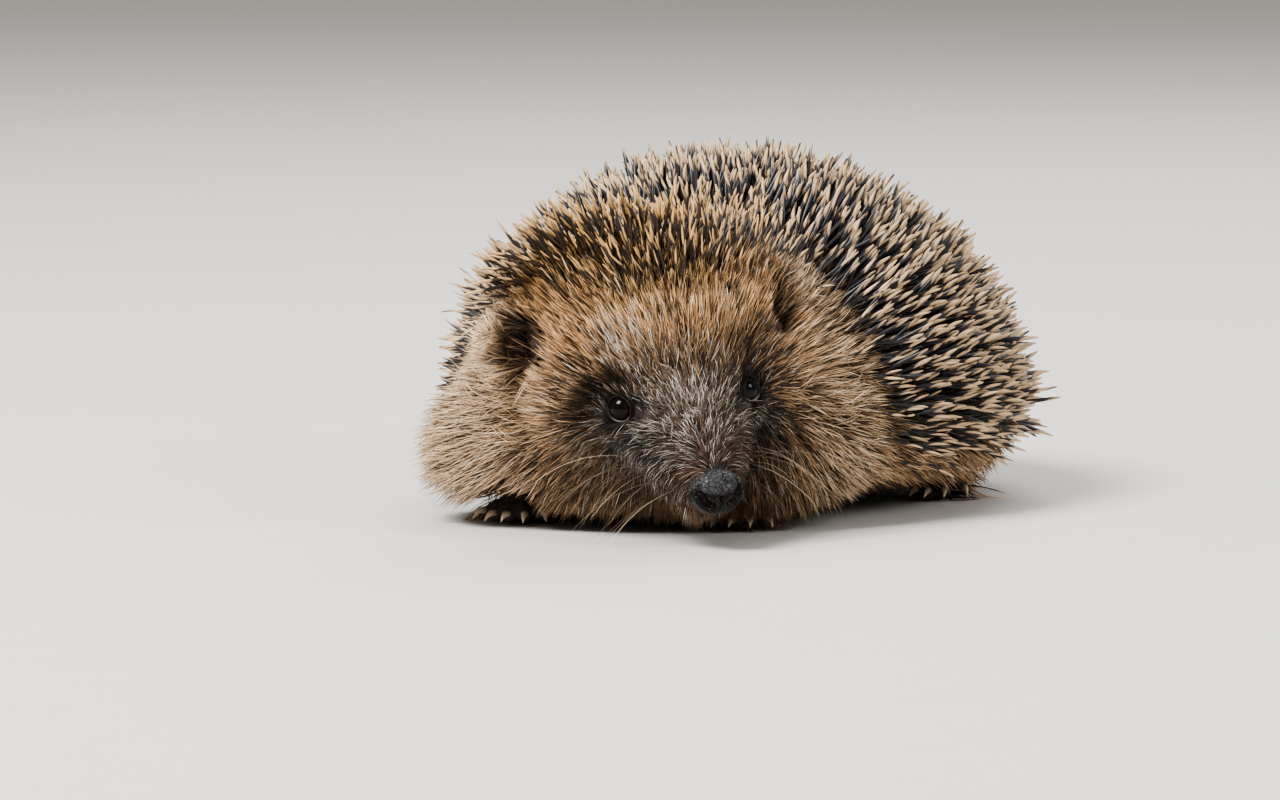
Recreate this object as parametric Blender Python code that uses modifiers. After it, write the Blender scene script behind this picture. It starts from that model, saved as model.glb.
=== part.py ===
"""A young European hedgehog, crouched on all fours with its head lowered and turned to its left.

Each solid follows the animal's outline out to the tips of its quills and fur. The body faces -Y, its
left side is +X and the floor is z = 0. The flesh is modelled whole, then parted with thin cuts into
head, lower jaw, neck and trunk; the limbs, ears, eyes, nose, tail and claws sit in pockets cut for
them. Shapes on the head are placed in the head's own frame: across, back from the nose, and up.
"""

import math

import bmesh
import bpy
from mathutils import Matrix, Vector

MM = 0.001
GAP = 0.3 * MM
LIMB_GAP = 0.5 * MM
UP = Vector((0, 0, 1))
ORIGIN = Vector((0, 0, 0))
SIDES = {"left": 1, "right": -1}

# Trunk, as the dome of quills over the body.
TRUNK_LENGTH = 150 * MM
TRUNK_WIDTH = 122 * MM
BACK_HEIGHT = 76.6 * MM
WIDEST_HEIGHT = 21 * MM
BELLY_HEIGHT = 3.5 * MM
RUMP_SPREAD = 0.03
RUMP_DROP = 0.12
BELLY_SQUARENESS = 3.6

# Nape and ruff, which fill between the shoulders and the head.
NAPE_CENTRE = Vector((8, -45, 38)) * MM
NAPE_RADII = Vector((34, 34, 30)) * MM
RUFF_CENTRE = Vector((5, -47, 17)) * MM
RUFF_RADII = Vector((48, 26, 27)) * MM
RUFF_TURN = math.radians(22)
RUFF_FLOOR = 3 * MM

# Head pose: the tip of the nose, then the turn to its left, the dip and the tilt.
NOSE_TIP = Vector((40, -84, 9.7)) * MM
HEAD_TURN = math.radians(50)
HEAD_DIP = math.radians(42.8)
HEAD_TILT = math.radians(9.8)
# Sections of the head in mm: distance back from the nose, half width, height above and depth below.
HEAD_SECTIONS = (
    (2, 5.2, 4.2, 5.0),
    (6, 7.6, 5.6, 7.4),
    (12, 10.6, 7.2, 10.0),
    (18, 13.2, 8.8, 12.0),
    (24, 16.4, 11.0, 14.0),
    (30, 20.6, 14.4, 16.6),
    (38, 26.0, 18.8, 19.0),
    (46, 30.5, 22.0, 22.0),
    (54, 33.0, 24.0, 24.0),
    (62, 33.0, 23.0, 24.0),
)
HEAD_RING_POINTS = 32
CHEEK_PLACE = Vector((15, 38, -6)) * MM
CHEEK_RADII = Vector((13.5, 13, 15)) * MM

# Eyes, in shallow orbits either side of the muzzle's root.
EYE_RADIUS = 2.9 * MM
EYE_SPACING = 25.8 * MM
EYE_BACK = 27 * MM
EYE_UP = 1.5 * MM
EYE_LOOK = Vector((0.62, -0.45, 0.64)).normalized()
ORBIT_RADIUS = 8 * MM
EYE_BULGE = 1.3 * MM

# Ears: small round cups that open forward and outward, each in a hollow of the cheek's fur.
EAR_SPACING = 59 * MM
EAR_BACK = 49 * MM
EAR_WIDTH = 13 * MM
EAR_HEIGHT = 15 * MM
EAR_DEPTH = 6 * MM
EAR_THICKNESS = 1.5 * MM
EAR_HOLLOW_RADII = Vector((6, 7, 5.5)) * MM

# Nose pad with its two nostrils.
NOSE_RADII = Vector((5.5, 4.2, 4.7)) * MM
NOSE_BACK = 3.4 * MM
NOSTRIL_RADII = Vector((1.1, 2.2, 1.7)) * MM
NOSTRIL_SPACING = 6.4 * MM
NOSTRIL_DROP = 1.6 * MM

# Lower jaw, below the line of the mouth.
MOUTH_BACK = 24 * MM
MOUTH_DROP = 4.6 * MM
JAW_DEPTH = 14 * MM
JAW_START = 3.2 * MM
JAW_TIP_WIDTH = 8 * MM
JAW_BACK_WIDTH = 17 * MM

# Tail, short and bare under the rump.
TAIL_LENGTH = 20 * MM
TAIL_RADIUS = 3 * MM
TAIL_TIP_RADIUS = 1.1 * MM
TAIL_ROOT = Vector((0, 57, 11)) * MM
TAIL_DROP = math.radians(18)

# Limbs. Each joint is a place and a radius in mm, from shoulder or hip to wrist or ankle.
FORELEG = {
    "left": ((34, -14, 18, 9), (30, -27, 10, 7), (23, -37, 5.5, 4.4)),
    "right": ((-33, -20, 18, 9), (-28, -37, 10, 7), (-21, -50, 5.5, 4.4)),
}
FORE_HEADING = {"left": math.radians(14), "right": math.radians(8)}
HINDLEG = {
    "left": ((37, 25, 20, 12), (41, 10, 14, 7), (36, 33, 9, 5)),
    "right": ((-37, 25, 20, 12), (-41, 10, 14, 7), (-36, 33, 9, 5)),
}
HIND_HEADING = {"left": math.radians(12), "right": math.radians(-12)}

# Feet, in mm: the sole, the toes and claws, and how far the heel is behind the ankle.
FOREFOOT = {"length": 12, "width": 12, "height": 5.4, "toe": 5.5, "claw": 4.5, "heel": 0}
HINDFOOT = {"length": 24, "width": 10.5, "height": 5.4, "toe": 5.5, "claw": 4.5, "heel": 5}
TOE_COUNT = 5
TOE_RADIUS = 1.7 * MM
TOE_FAN = math.radians(44)
CLAW_RADIUS = 0.85 * MM
CLAW_TIP = 0.3
CLAW_ROOT = 1.5 * MM
SOLE_SINK = 0.7 * MM
ANKLE_CUT = 2.5 * MM

# Cuts between head and neck and between neck and trunk: where each plane stands and its turn.
NECK_FRONT_BACK = 8 * MM
NECK_REAR_POINT = Vector((5, -38, 0)) * MM
NECK_REAR_TURN = math.radians(25)

# Fineness of the solids.
BODY_VOXEL = 1.1 * MM
LIMB_VOXEL = 0.7 * MM
BODY_TRIANGLES = 2500
LIMB_TRIANGLES = 230
BODY_SMOOTHING = 14
LIMB_SMOOTHING = 3

COLOURS = {
    "quills": (0.17, 0.12, 0.07),
    "fur": (0.36, 0.25, 0.15),
    "skin": (0.09, 0.06, 0.045),
    "nose": (0.03, 0.03, 0.033),
    "eye": (0.006, 0.005, 0.005),
    "claw": (0.45, 0.33, 0.21),
}
ROUGHNESS = {"quills": 0.6, "fur": 0.85, "skin": 0.6, "nose": 0.35, "eye": 0.05, "claw": 0.4}

HEAD_FRAME = (
    Matrix.Translation(NOSE_TIP)
    @ Matrix.Rotation(HEAD_TURN, 4, "Z")
    @ Matrix.Rotation(HEAD_DIP, 4, "X")
    @ Matrix.Rotation(-HEAD_TILT, 4, "Y")
)


def clear_scene():
    """Remove every object that the scene starts with."""
    for obj in list(bpy.data.objects):
        bpy.data.objects.remove(obj)


def new_collection(name):
    """Make a collection in the scene."""
    collection = bpy.data.collections.new(name)
    bpy.context.scene.collection.children.link(collection)
    return collection


def make_material(name):
    """Make a plain surface with one of the model's named colours."""
    material = bpy.data.materials.new(name)
    material.use_nodes = True
    surface = material.node_tree.nodes["Principled BSDF"]
    surface.inputs["Base Color"].default_value = (*COLOURS[name], 1)
    surface.inputs["Roughness"].default_value = ROUGHNESS[name]
    surface.inputs["Metallic"].default_value = 0
    return material


class Model:
    """The collections, the materials and the empty that carries every part."""

    def __init__(self):
        clear_scene()
        self.parts = new_collection("hedgehog")
        self.cutters = new_collection("cutters")
        self.materials = {name: make_material(name) for name in COLOURS}
        self.root = bpy.data.objects.new("hedgehog_root", None)
        self.parts.objects.link(self.root)

    def helper(self, name, mesh):
        """Link a mesh as a shape that only cuts or joins, so it stays out of the render."""
        obj = bpy.data.objects.new(name, mesh)
        obj.hide_render = True
        obj.display_type = "WIRE"
        self.cutters.objects.link(obj)
        return obj

    def node(self, name, mesh, material, parent=None):
        """Link a mesh as one part of the animal, with its origin at the middle of its box."""
        obj = bpy.data.objects.new(name, mesh)
        low, high = mesh_box(mesh)
        middle = (low + high) / 2
        mesh.transform(Matrix.Translation(-middle))
        mesh.materials.clear()
        mesh.materials.append(self.materials[material])
        mesh.shade_smooth()
        self.parts.objects.link(obj)
        obj.parent = parent or self.root
        obj.matrix_world = Matrix.Translation(middle)
        return obj

    def cut(self, obj, cutter, operation="DIFFERENCE"):
        """Cut a helper away from an object, or keep only what is inside it.

        The pockets graze many small faces, where the EXACT solver loses the whole head.
        """
        boolean = obj.modifiers.new("cut", "BOOLEAN")
        boolean.operation = operation
        boolean.solver = "MANIFOLD"
        boolean.object = cutter
        freeze(obj)

    def pocket(self, objects, mesh, gap=GAP):
        """Cut room for a piece, wider than it by the gap all round, in each of the objects."""
        cutter = self.helper("pocket", swollen(mesh, gap))
        for obj in objects:
            self.cut(obj, cutter)


def freeze(obj):
    """Replace an object's mesh by what its modifiers make of it."""
    bpy.context.view_layer.update()
    evaluated = obj.evaluated_get(bpy.context.evaluated_depsgraph_get())
    obj.data = bpy.data.meshes.new_from_object(evaluated)
    obj.modifiers.clear()


def mesh_of(bm, name):
    """Turn a bmesh into a mesh with its faces pointing out."""
    bmesh.ops.recalc_face_normals(bm, faces=bm.faces)
    mesh = bpy.data.meshes.new(name)
    bm.to_mesh(mesh)
    bm.free()
    return mesh


def mesh_box(mesh):
    """Give the lowest and the highest corner of a mesh."""
    low = Vector([min(vertex.co[axis] for vertex in mesh.vertices) for axis in range(3)])
    high = Vector([max(vertex.co[axis] for vertex in mesh.vertices) for axis in range(3)])
    return low, high


def swollen(mesh, distance):
    """Copy a mesh with its surface moved outward."""
    bm = bmesh.new()
    bm.from_mesh(mesh)
    bmesh.ops.recalc_face_normals(bm, faces=bm.faces)
    bm.normal_update()
    steps = [vertex.normal * min(vertex.calc_shell_factor(), 2) * distance for vertex in bm.verts]
    for vertex, step in zip(bm.verts, steps):
        vertex.co += step
    return mesh_of(bm, "swollen")


def ellipsoid(name, radii, frame, segments=32, rings=20):
    """Make an ellipsoid of the given radii in a frame."""
    bm = bmesh.new()
    bmesh.ops.create_uvsphere(
        bm, u_segments=segments, v_segments=rings, radius=1, matrix=frame @ Matrix.Diagonal((*radii, 1))
    )
    return mesh_of(bm, name)


def dome(name, radii, floor, frame, spread=0.0, drop=0.0):
    """Make an ellipsoid whose lower half is squarer and flatter.

    `floor` is how far the lower half reaches below the centre. `spread` makes the +Y end broader, and
    `drop` lowers it.
    """
    bm = bmesh.new()
    bmesh.ops.create_uvsphere(bm, u_segments=48, v_segments=32, radius=1)
    for vertex in bm.verts:
        x, y, z = vertex.co
        if z < 0:
            level = min(-z, 1)
            flat = math.sqrt(max(1 - level * level, 1e-9))
            fuller = max(1 - level**BELLY_SQUARENESS, 0) ** (1 / BELLY_SQUARENESS) / flat
            x, y, z = x * fuller, y * fuller, z * floor / radii.z
        slope = 1 - drop * max(y, 0) ** 1.3 if z > 0 else 1
        vertex.co = (x * radii.x * (1 + spread * y), y * radii.y, z * radii.z * slope)
    bmesh.ops.remove_doubles(bm, verts=bm.verts, dist=0.01 * MM)
    bmesh.ops.transform(bm, matrix=frame, verts=bm.verts)
    return mesh_of(bm, name)


def loft(name, sections, frame):
    """Skin a row of sections, each half round above and below its own axis point."""
    bm = bmesh.new()
    rings = []
    for back, half_width, above, below in sections:
        ring = []
        for step in range(HEAD_RING_POINTS):
            angle = 2 * math.pi * step / HEAD_RING_POINTS
            height = above if math.sin(angle) > 0 else below
            place = Vector((half_width * math.cos(angle), back, height * math.sin(angle))) * MM
            ring.append(bm.verts.new(frame @ place))
        rings.append(ring)
    for near, far in zip(rings, rings[1:]):
        for step in range(HEAD_RING_POINTS):
            after = (step + 1) % HEAD_RING_POINTS
            bm.faces.new((near[step], near[after], far[after], far[step]))
    bm.faces.new(rings[0])
    bm.faces.new(reversed(rings[-1]))
    return mesh_of(bm, name)


def tube(name, points, radii, sides=2):
    """Make a closed tube through the points, as thick at each as its radius."""
    curve = bpy.data.curves.new(name, "CURVE")
    curve.dimensions = "3D"
    curve.bevel_depth = 1
    curve.bevel_resolution = sides
    curve.use_fill_caps = True
    spline = curve.splines.new("POLY")
    spline.points.add(len(points) - 1)
    for knot, point, radius in zip(spline.points, points, radii):
        knot.co = (*point, 1)
        knot.radius = radius
    obj = bpy.data.objects.new(name, curve)
    bpy.context.scene.collection.objects.link(obj)
    bpy.context.view_layer.update()
    evaluated = obj.evaluated_get(bpy.context.evaluated_depsgraph_get())
    made = bpy.data.meshes.new_from_object(evaluated)
    bpy.data.objects.remove(obj)
    bm = bmesh.new()
    bm.from_mesh(made)
    bmesh.ops.remove_doubles(bm, verts=bm.verts, dist=0.01 * MM)
    return mesh_of(bm, name)


def ball_chain(name, joints, frame=Matrix()):
    """Join balls at the joints, given in mm as x, y, z and radius, by tapered tubes."""
    bm = bmesh.new()
    places = [frame @ (Vector(joint[:3]) * MM) for joint in joints]
    radii = [joint[3] * MM for joint in joints]
    for place, radius in zip(places, radii):
        bmesh.ops.create_uvsphere(
            bm, u_segments=20, v_segments=12, radius=radius, matrix=Matrix.Translation(place)
        )
    for start, end, first, last in zip(places, places[1:], radii, radii[1:]):
        run = end - start
        turn = UP.rotation_difference(run).to_matrix().to_4x4()
        matrix = Matrix.Translation((start + end) / 2) @ turn
        bmesh.ops.create_cone(
            bm, cap_ends=True, segments=20, radius1=first, radius2=last, depth=run.length, matrix=matrix
        )
    return mesh_of(bm, name)


def joined(meshes, name):
    """Put several meshes in one."""
    bm = bmesh.new()
    for mesh in meshes:
        bm.from_mesh(mesh)
    return mesh_of(bm, name)


def melt(obj, voxel):
    """Rebuild an object's surface from small cubes, which joins whatever overlaps in it."""
    remesh = obj.modifiers.new("melt", "REMESH")
    remesh.mode = "VOXEL"
    remesh.voxel_size = voxel
    freeze(obj)


def fuse(model, name, meshes, voxel, smoothing, triangles, dents=()):
    """Melt overlapping meshes into one soft closed form with about the number of triangles given."""
    obj = model.helper(name, joined(meshes, name))
    melt(obj, voxel)
    for dent in dents:
        model.cut(obj, model.helper("dent", dent))
    if dents:
        melt(obj, voxel)
    smooth = obj.modifiers.new("soften", "SMOOTH")
    smooth.factor = 0.5
    smooth.iterations = smoothing
    freeze(obj)
    obj.modifiers.new("triangulate", "TRIANGULATE")
    freeze(obj)
    decimate = obj.modifiers.new("thin", "DECIMATE")
    decimate.ratio = min(1, triangles / len(obj.data.polygons))
    freeze(obj)
    return obj.data


def sliced(mesh, point, normal):
    """Copy the part of a mesh behind a plane, closed where the plane cuts it."""
    bm = bmesh.new()
    bm.from_mesh(mesh)
    cut = bmesh.ops.bisect_plane(
        bm,
        geom=list(bm.verts) + list(bm.edges) + list(bm.faces),
        dist=1e-7,
        plane_co=point,
        plane_no=normal,
        clear_outer=True,
    )
    rim = [edge for edge in cut["geom_cut"] if isinstance(edge, bmesh.types.BMEdge) and edge.is_boundary]
    bmesh.ops.triangle_fill(bm, use_beauty=True, edges=rim)
    return mesh_of(bm, "sliced")


def parted(mesh, point, normal):
    """Part a mesh at a plane and give the piece in front of it and the piece behind, a gap apart."""
    half = normal.normalized() * GAP / 2
    front = sliced(mesh, point - half, normal)
    behind = sliced(mesh, point + half, -normal)
    return front, behind


def head_point(across, back, up):
    """Give the place of a point of the head's own frame."""
    return HEAD_FRAME @ Vector((across, back, up))


def trunk_form():
    """Make the dome of the trunk, broader over the rump and flat under the belly."""
    radii = Vector((TRUNK_WIDTH / 2, TRUNK_LENGTH / 2, BACK_HEIGHT - WIDEST_HEIGHT))
    frame = Matrix.Translation((0, 0, WIDEST_HEIGHT))
    return dome("trunk_form", radii, WIDEST_HEIGHT - BELLY_HEIGHT, frame, RUMP_SPREAD, RUMP_DROP)


def ruff_form():
    """Make the ruff of long fur round the neck, turned with the head."""
    frame = Matrix.Translation(RUFF_CENTRE) @ Matrix.Rotation(RUFF_TURN, 4, "Z")
    return dome("ruff_form", RUFF_RADII, RUFF_CENTRE.z - RUFF_FLOOR, frame)


def orbit_dents():
    """Make the balls that hollow the face round each eye."""
    dents = []
    ahead = EYE_LOOK * (EYE_RADIUS + ORBIT_RADIUS - EYE_BULGE)
    for side in SIDES.values():
        place = head_point(side * (EYE_SPACING / 2 + ahead.x), EYE_BACK + ahead.y, EYE_UP + ahead.z)
        dents.append(ellipsoid("orbit", Vector((ORBIT_RADIUS,) * 3), Matrix.Translation(place)))
    return dents


def ear_frame(side):
    """Give the frame of one ear: its opening faces the frame's -Y, and its tip is at +Z."""
    lean = Matrix.Rotation(side * math.radians(38), 4, "Z") @ Matrix.Rotation(math.radians(-24), 4, "X")
    return HEAD_FRAME @ Matrix.Translation((side * EAR_SPACING / 2, EAR_BACK, 0)) @ lean


def ear_hollows():
    """Make the ovals that open the fur in front of each ear."""
    shift = Matrix.Translation((0, -3.5 * MM, 0))
    return [
        ellipsoid("ear_hollow", EAR_HOLLOW_RADII, ear_frame(side) @ shift) for side in SIDES.values()
    ]


def flesh(model):
    """Model head, neck and trunk in one piece."""
    forms = [
        trunk_form(),
        ruff_form(),
        ellipsoid("nape_form", NAPE_RADII, Matrix.Translation(NAPE_CENTRE), 48, 32),
        loft("head_form", HEAD_SECTIONS, HEAD_FRAME),
    ]
    for side in SIDES.values():
        frame = HEAD_FRAME @ Matrix.Translation((side * CHEEK_PLACE.x, CHEEK_PLACE.y, CHEEK_PLACE.z))
        forms.append(ellipsoid("cheek_form", CHEEK_RADII, frame))
    dents = orbit_dents() + ear_hollows()
    return fuse(model, "flesh", forms, BODY_VOXEL, BODY_SMOOTHING, BODY_TRIANGLES, dents)


def ear_shell(side):
    """Make one ear: half an oval shell, open where the ear opens."""
    bm = bmesh.new()
    bmesh.ops.create_uvsphere(bm, u_segments=12, v_segments=6, radius=1)
    bmesh.ops.bisect_plane(
        bm,
        geom=list(bm.verts) + list(bm.edges) + list(bm.faces),
        plane_co=ORIGIN,
        plane_no=(0, -1, 0),
        clear_outer=True,
    )
    radii = Vector((EAR_WIDTH / 2, EAR_DEPTH, EAR_HEIGHT / 2))
    bmesh.ops.transform(bm, matrix=ear_frame(side) @ Matrix.Diagonal((*radii, 1)), verts=bm.verts)
    bmesh.ops.solidify(bm, geom=list(bm.faces), thickness=EAR_THICKNESS)
    return mesh_of(bm, "ear")


def hull(mesh):
    """Make the convex form round a mesh."""
    bm = bmesh.new()
    bm.from_mesh(mesh)
    made = bmesh.ops.convex_hull(bm, input=bm.verts)
    spare = [item for item in made["geom_interior"] + made["geom_unused"] if item.is_valid]
    bmesh.ops.delete(bm, geom=[v for v in spare if isinstance(v, bmesh.types.BMVert)], context="VERTS")
    kept = {face for face in made["geom"] if isinstance(face, bmesh.types.BMFace)}
    bmesh.ops.delete(bm, geom=[face for face in bm.faces if face not in kept], context="FACES")
    return mesh_of(bm, "hull")


def nose_pad(model):
    """Make the nose pad and hollow its two nostrils."""
    frame = HEAD_FRAME @ Matrix.Translation((0, NOSE_BACK, 0))
    pad = model.helper("nose_form", ellipsoid("nose_form", NOSE_RADII, frame, 14, 10))
    for side in SIDES.values():
        place = Matrix.Translation((side * NOSTRIL_SPACING / 2, -NOSE_RADII.y * 0.8, -NOSTRIL_DROP))
        lean = Matrix.Rotation(side * math.radians(35), 4, "Z")
        hole = ellipsoid("nostril", NOSTRIL_RADII, frame @ place @ lean, 8, 6)
        model.cut(pad, model.helper("nostril", hole))
    return pad.data


def jaw_wedge(grown):
    """Make the wedge that holds the lower jaw, narrow at the chin, grown by a distance on every side."""
    length = MOUTH_BACK - JAW_START
    middle = Vector((0, JAW_START + length / 2, -MOUTH_DROP - JAW_DEPTH / 2))
    size = Vector((1, length, JAW_DEPTH)) + Vector((0, 2, 2)) * grown
    bm = bmesh.new()
    bmesh.ops.create_cube(bm, size=1, matrix=Matrix.Diagonal((*size, 1)))
    for vertex in bm.verts:
        half_width = (JAW_BACK_WIDTH if vertex.co.y > 0 else JAW_TIP_WIDTH) / 2 + grown
        vertex.co.x = math.copysign(half_width, vertex.co.x)
    bmesh.ops.transform(bm, matrix=HEAD_FRAME @ Matrix.Translation(middle), verts=bm.verts)
    return mesh_of(bm, "jaw_wedge")


def jaw_of(model, head):
    """Part the lower jaw from the head along the mouth."""
    jaw = model.helper("jaw_form", head.copy())
    model.cut(jaw, model.helper("jaw_wedge", jaw_wedge(0)), "INTERSECT")
    rest = model.helper("head_form", head)
    model.cut(rest, model.helper("jaw_room", jaw_wedge(GAP)))
    return largest_body(jaw.data), largest_body(rest.data)


def largest_body(mesh):
    """Keep the biggest connected piece of a mesh."""
    bm = bmesh.new()
    bm.from_mesh(mesh)
    unseen = set(bm.verts)
    bodies = []
    while unseen:
        body = set()
        front = [unseen.pop()]
        while front:
            vertex = front.pop()
            body.add(vertex)
            for edge in vertex.link_edges:
                other = edge.other_vert(vertex)
                if other in unseen:
                    unseen.discard(other)
                    front.append(other)
        bodies.append(body)
    bodies.sort(key=len)
    for body in bodies[:-1]:
        bmesh.ops.delete(bm, geom=list(body), context="VERTS")
    return mesh_of(bm, mesh.name)


def toe_frames(foot, heading, ankle):
    """Give a frame for each toe: its root at the front of the sole, and its tip towards -Y."""
    length = foot["length"] * MM
    half = foot["width"] / 2 * MM
    sole = Matrix.Translation((ankle.x, ankle.y, 0)) @ Matrix.Rotation(heading, 4, "Z")
    frames = []
    for toe in range(TOE_COUNT):
        spread = 2 * toe / (TOE_COUNT - 1) - 1
        forward = length * (0.86 - 0.3 * spread * spread) - foot["heel"] * MM
        place = Matrix.Translation((spread * (half - TOE_RADIUS), -forward, TOE_RADIUS))
        frames.append(sole @ place @ Matrix.Rotation(spread * TOE_FAN / 2, 4, "Z"))
    return frames


def foot_forms(foot, heading, ankle):
    """Make the sole and the toes of one foot, before they are fused with the leg."""
    length = foot["length"] * MM
    radii = Vector((foot["width"] / 2, foot["length"] / 2, foot["height"] / 2)) * MM
    middle = foot["heel"] * MM - length / 2
    sole = Matrix.Translation((ankle.x, ankle.y, 0)) @ Matrix.Rotation(heading, 4, "Z")
    forms = [ellipsoid("sole", radii, sole @ Matrix.Translation((0, middle, radii.z - SOLE_SINK)))]
    reach = foot["toe"]
    thick = TOE_RADIUS / MM
    chain = ((0, 3, 0.5, thick), (0, -reach * 0.45, 0.9, thick), (0, -reach, -0.4, thick * 0.85))
    for frame in toe_frames(foot, heading, ankle):
        forms.append(ball_chain("toe", chain, frame))
    return forms


def claw_meshes(foot, heading, ankle):
    """Make one curved claw at the tip of each toe."""
    claws = []
    steps = 4
    for frame in toe_frames(foot, heading, ankle):
        points = []
        radii = []
        for step in range(steps):
            share = step / (steps - 1)
            reach = share * foot["claw"] * MM
            start = foot["toe"] * MM + TOE_RADIUS * 0.85 - CLAW_ROOT
            drop = 0.9 * MM * share * share
            points.append(frame @ Vector((0, -start - reach, 0.3 * MM - drop)))
            radii.append(CLAW_RADIUS * (1 - (1 - CLAW_TIP) * share))
        claws.append(tube("claw", points, radii, 1))
    return claws


def limb(model, name, joints, foot, heading, cut_along):
    """Make a leg with its foot, part them at the ankle across a direction and set the claws in the toes."""
    ankle = Vector(joints[-1][:3]) * MM
    forms = [ball_chain("leg", joints)] + foot_forms(foot, heading, ankle)
    whole = fuse(model, name, forms, LIMB_VOXEL, LIMB_SMOOTHING, LIMB_TRIANGLES)
    whole = sliced(whole, ORIGIN, -UP)
    leg, paw = parted(whole, ankle + cut_along * ANKLE_CUT, cut_along)
    claws = claw_meshes(foot, heading, ankle)
    paw = model.helper("paw", paw)
    for claw in claws:
        model.pocket([paw], claw)
    return leg, paw.data, claws


def tail_mesh():
    """Make the short tail, thinning to a blunt tip."""
    steps = 6
    run = Vector((0, math.cos(TAIL_DROP), -math.sin(TAIL_DROP)))
    points = [TAIL_ROOT + run * TAIL_LENGTH * step / (steps - 1) for step in range(steps)]
    radii = [TAIL_RADIUS + (TAIL_TIP_RADIUS - TAIL_RADIUS) * step / (steps - 1) for step in range(steps)]
    return tube("tail", points, radii, 3)


def main():
    """Build the hedgehog and stand it with the middle of its box over the origin."""
    model = Model()
    whole = flesh(model)

    across = (HEAD_FRAME.to_3x3() @ Vector((1, 0, 0))) * Vector((1, 1, 0))
    front_normal = UP.cross(across).normalized()
    front_point = head_point(0, EAR_BACK, 0) + front_normal * NECK_FRONT_BACK
    rear_normal = Matrix.Rotation(NECK_REAR_TURN, 3, "Z") @ Vector((0, 1, 0))
    front, trunk_mesh = parted(whole, NECK_REAR_POINT, rear_normal)
    head_mesh, neck_mesh = parted(front, front_point, front_normal)
    jaw_mesh, head_mesh = jaw_of(model, largest_body(head_mesh))

    trunk = model.helper("trunk_cut", largest_body(trunk_mesh))
    neck = model.helper("neck_cut", largest_body(neck_mesh))
    head = model.helper("head_cut", head_mesh)
    jaw = model.helper("jaw_cut", jaw_mesh)

    limbs = {}
    for side in SIDES:
        joints = FORELEG[side]
        forearm = (Vector(joints[-1][:3]) - Vector(joints[-2][:3])).normalized()
        limbs["fore", side] = limb(model, "foreleg", joints, FOREFOOT, FORE_HEADING[side], forearm)
        limbs["hind", side] = limb(model, "hindleg", HINDLEG[side], HINDFOOT, HIND_HEADING[side], -UP)
    for leg, paw, claws in limbs.values():
        for piece in (leg, hull(paw)):
            model.pocket([trunk, neck, head], piece, LIMB_GAP)

    tail = tail_mesh()
    model.pocket([trunk], tail)
    nose = nose_pad(model)
    model.pocket([head, jaw], nose)
    eyes = {}
    ears = {}
    for side, sign in SIDES.items():
        frame = Matrix.Translation(head_point(sign * EYE_SPACING / 2, EYE_BACK, EYE_UP))
        eyes[side] = ellipsoid("eye", Vector((EYE_RADIUS,) * 3), frame, 12, 8)
        model.pocket([head], eyes[side])
        ears[side] = ear_shell(sign)
        model.pocket([head, neck], hull(ears[side]))

    trunk_node = model.node("trunk", largest_body(trunk.data), "quills")
    neck_node = model.node("neck", largest_body(neck.data), "fur", trunk_node)
    head_node = model.node("head", largest_body(head.data), "fur", neck_node)
    model.node("lower_jaw", largest_body(jaw.data), "fur", head_node)
    model.node("nose", nose, "nose", head_node)
    model.node("tail", tail, "skin", trunk_node)
    for side in SIDES:
        model.node(f"eye_{side}", eyes[side], "eye", head_node)
        model.node(f"ear_{side}", ears[side], "skin", head_node)
    for (end, side), (leg, paw, claws) in limbs.items():
        leg_node = model.node(f"{end}leg_{side}", leg, "fur", trunk_node)
        paw_node = model.node(f"{end}foot_{side}", paw, "skin", leg_node)
        for number, claw in enumerate(claws, 1):
            model.node(f"{end}claw_{side}_{number}", claw, "claw", paw_node)
    centre(model)


def centre(model):
    """Move the animal so that the middle of its box's underside is at the origin."""
    bpy.context.view_layer.update()
    corners = [
        obj.matrix_world @ Vector(corner)
        for obj in model.parts.objects
        if obj.type == "MESH"
        for corner in obj.bound_box
    ]
    low = Vector([min(corner[axis] for corner in corners) for axis in range(3)])
    high = Vector([max(corner[axis] for corner in corners) for axis in range(3)])
    model.root.location = (-(low.x + high.x) / 2, -(low.y + high.y) / 2, -low.z)


main()
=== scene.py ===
"""Looks of a young European hedgehog, crouched with its head lowered and turned to its left.

One skin covers the flesh of head, neck, trunk and limbs, and lies under the solids' outline by the
depth of the coat. Quills stand on the back and flanks, and fur grows on the face, the ruff, the skirt
round the body and the belly. Zones of the coat say how long, how steep and what colour the hair is,
and the skin takes its colours from the same zones. Places on the head are given in the head's own
frame: across to the animal's left, back from the tip of the nose, and up.
"""

import itertools
import logging
import math
from collections.abc import Callable
from dataclasses import dataclass, field
from enum import Enum
from functools import cached_property

import bmesh
import bpy
import numpy as np
from bpy.types import Material, Mesh, Node, NodeSocket, NodeTree, Object
from mathutils import Matrix, Vector
from mathutils.bvhtree import BVHTree
from mathutils.kdtree import KDTree
from numpy.random import Generator


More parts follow.
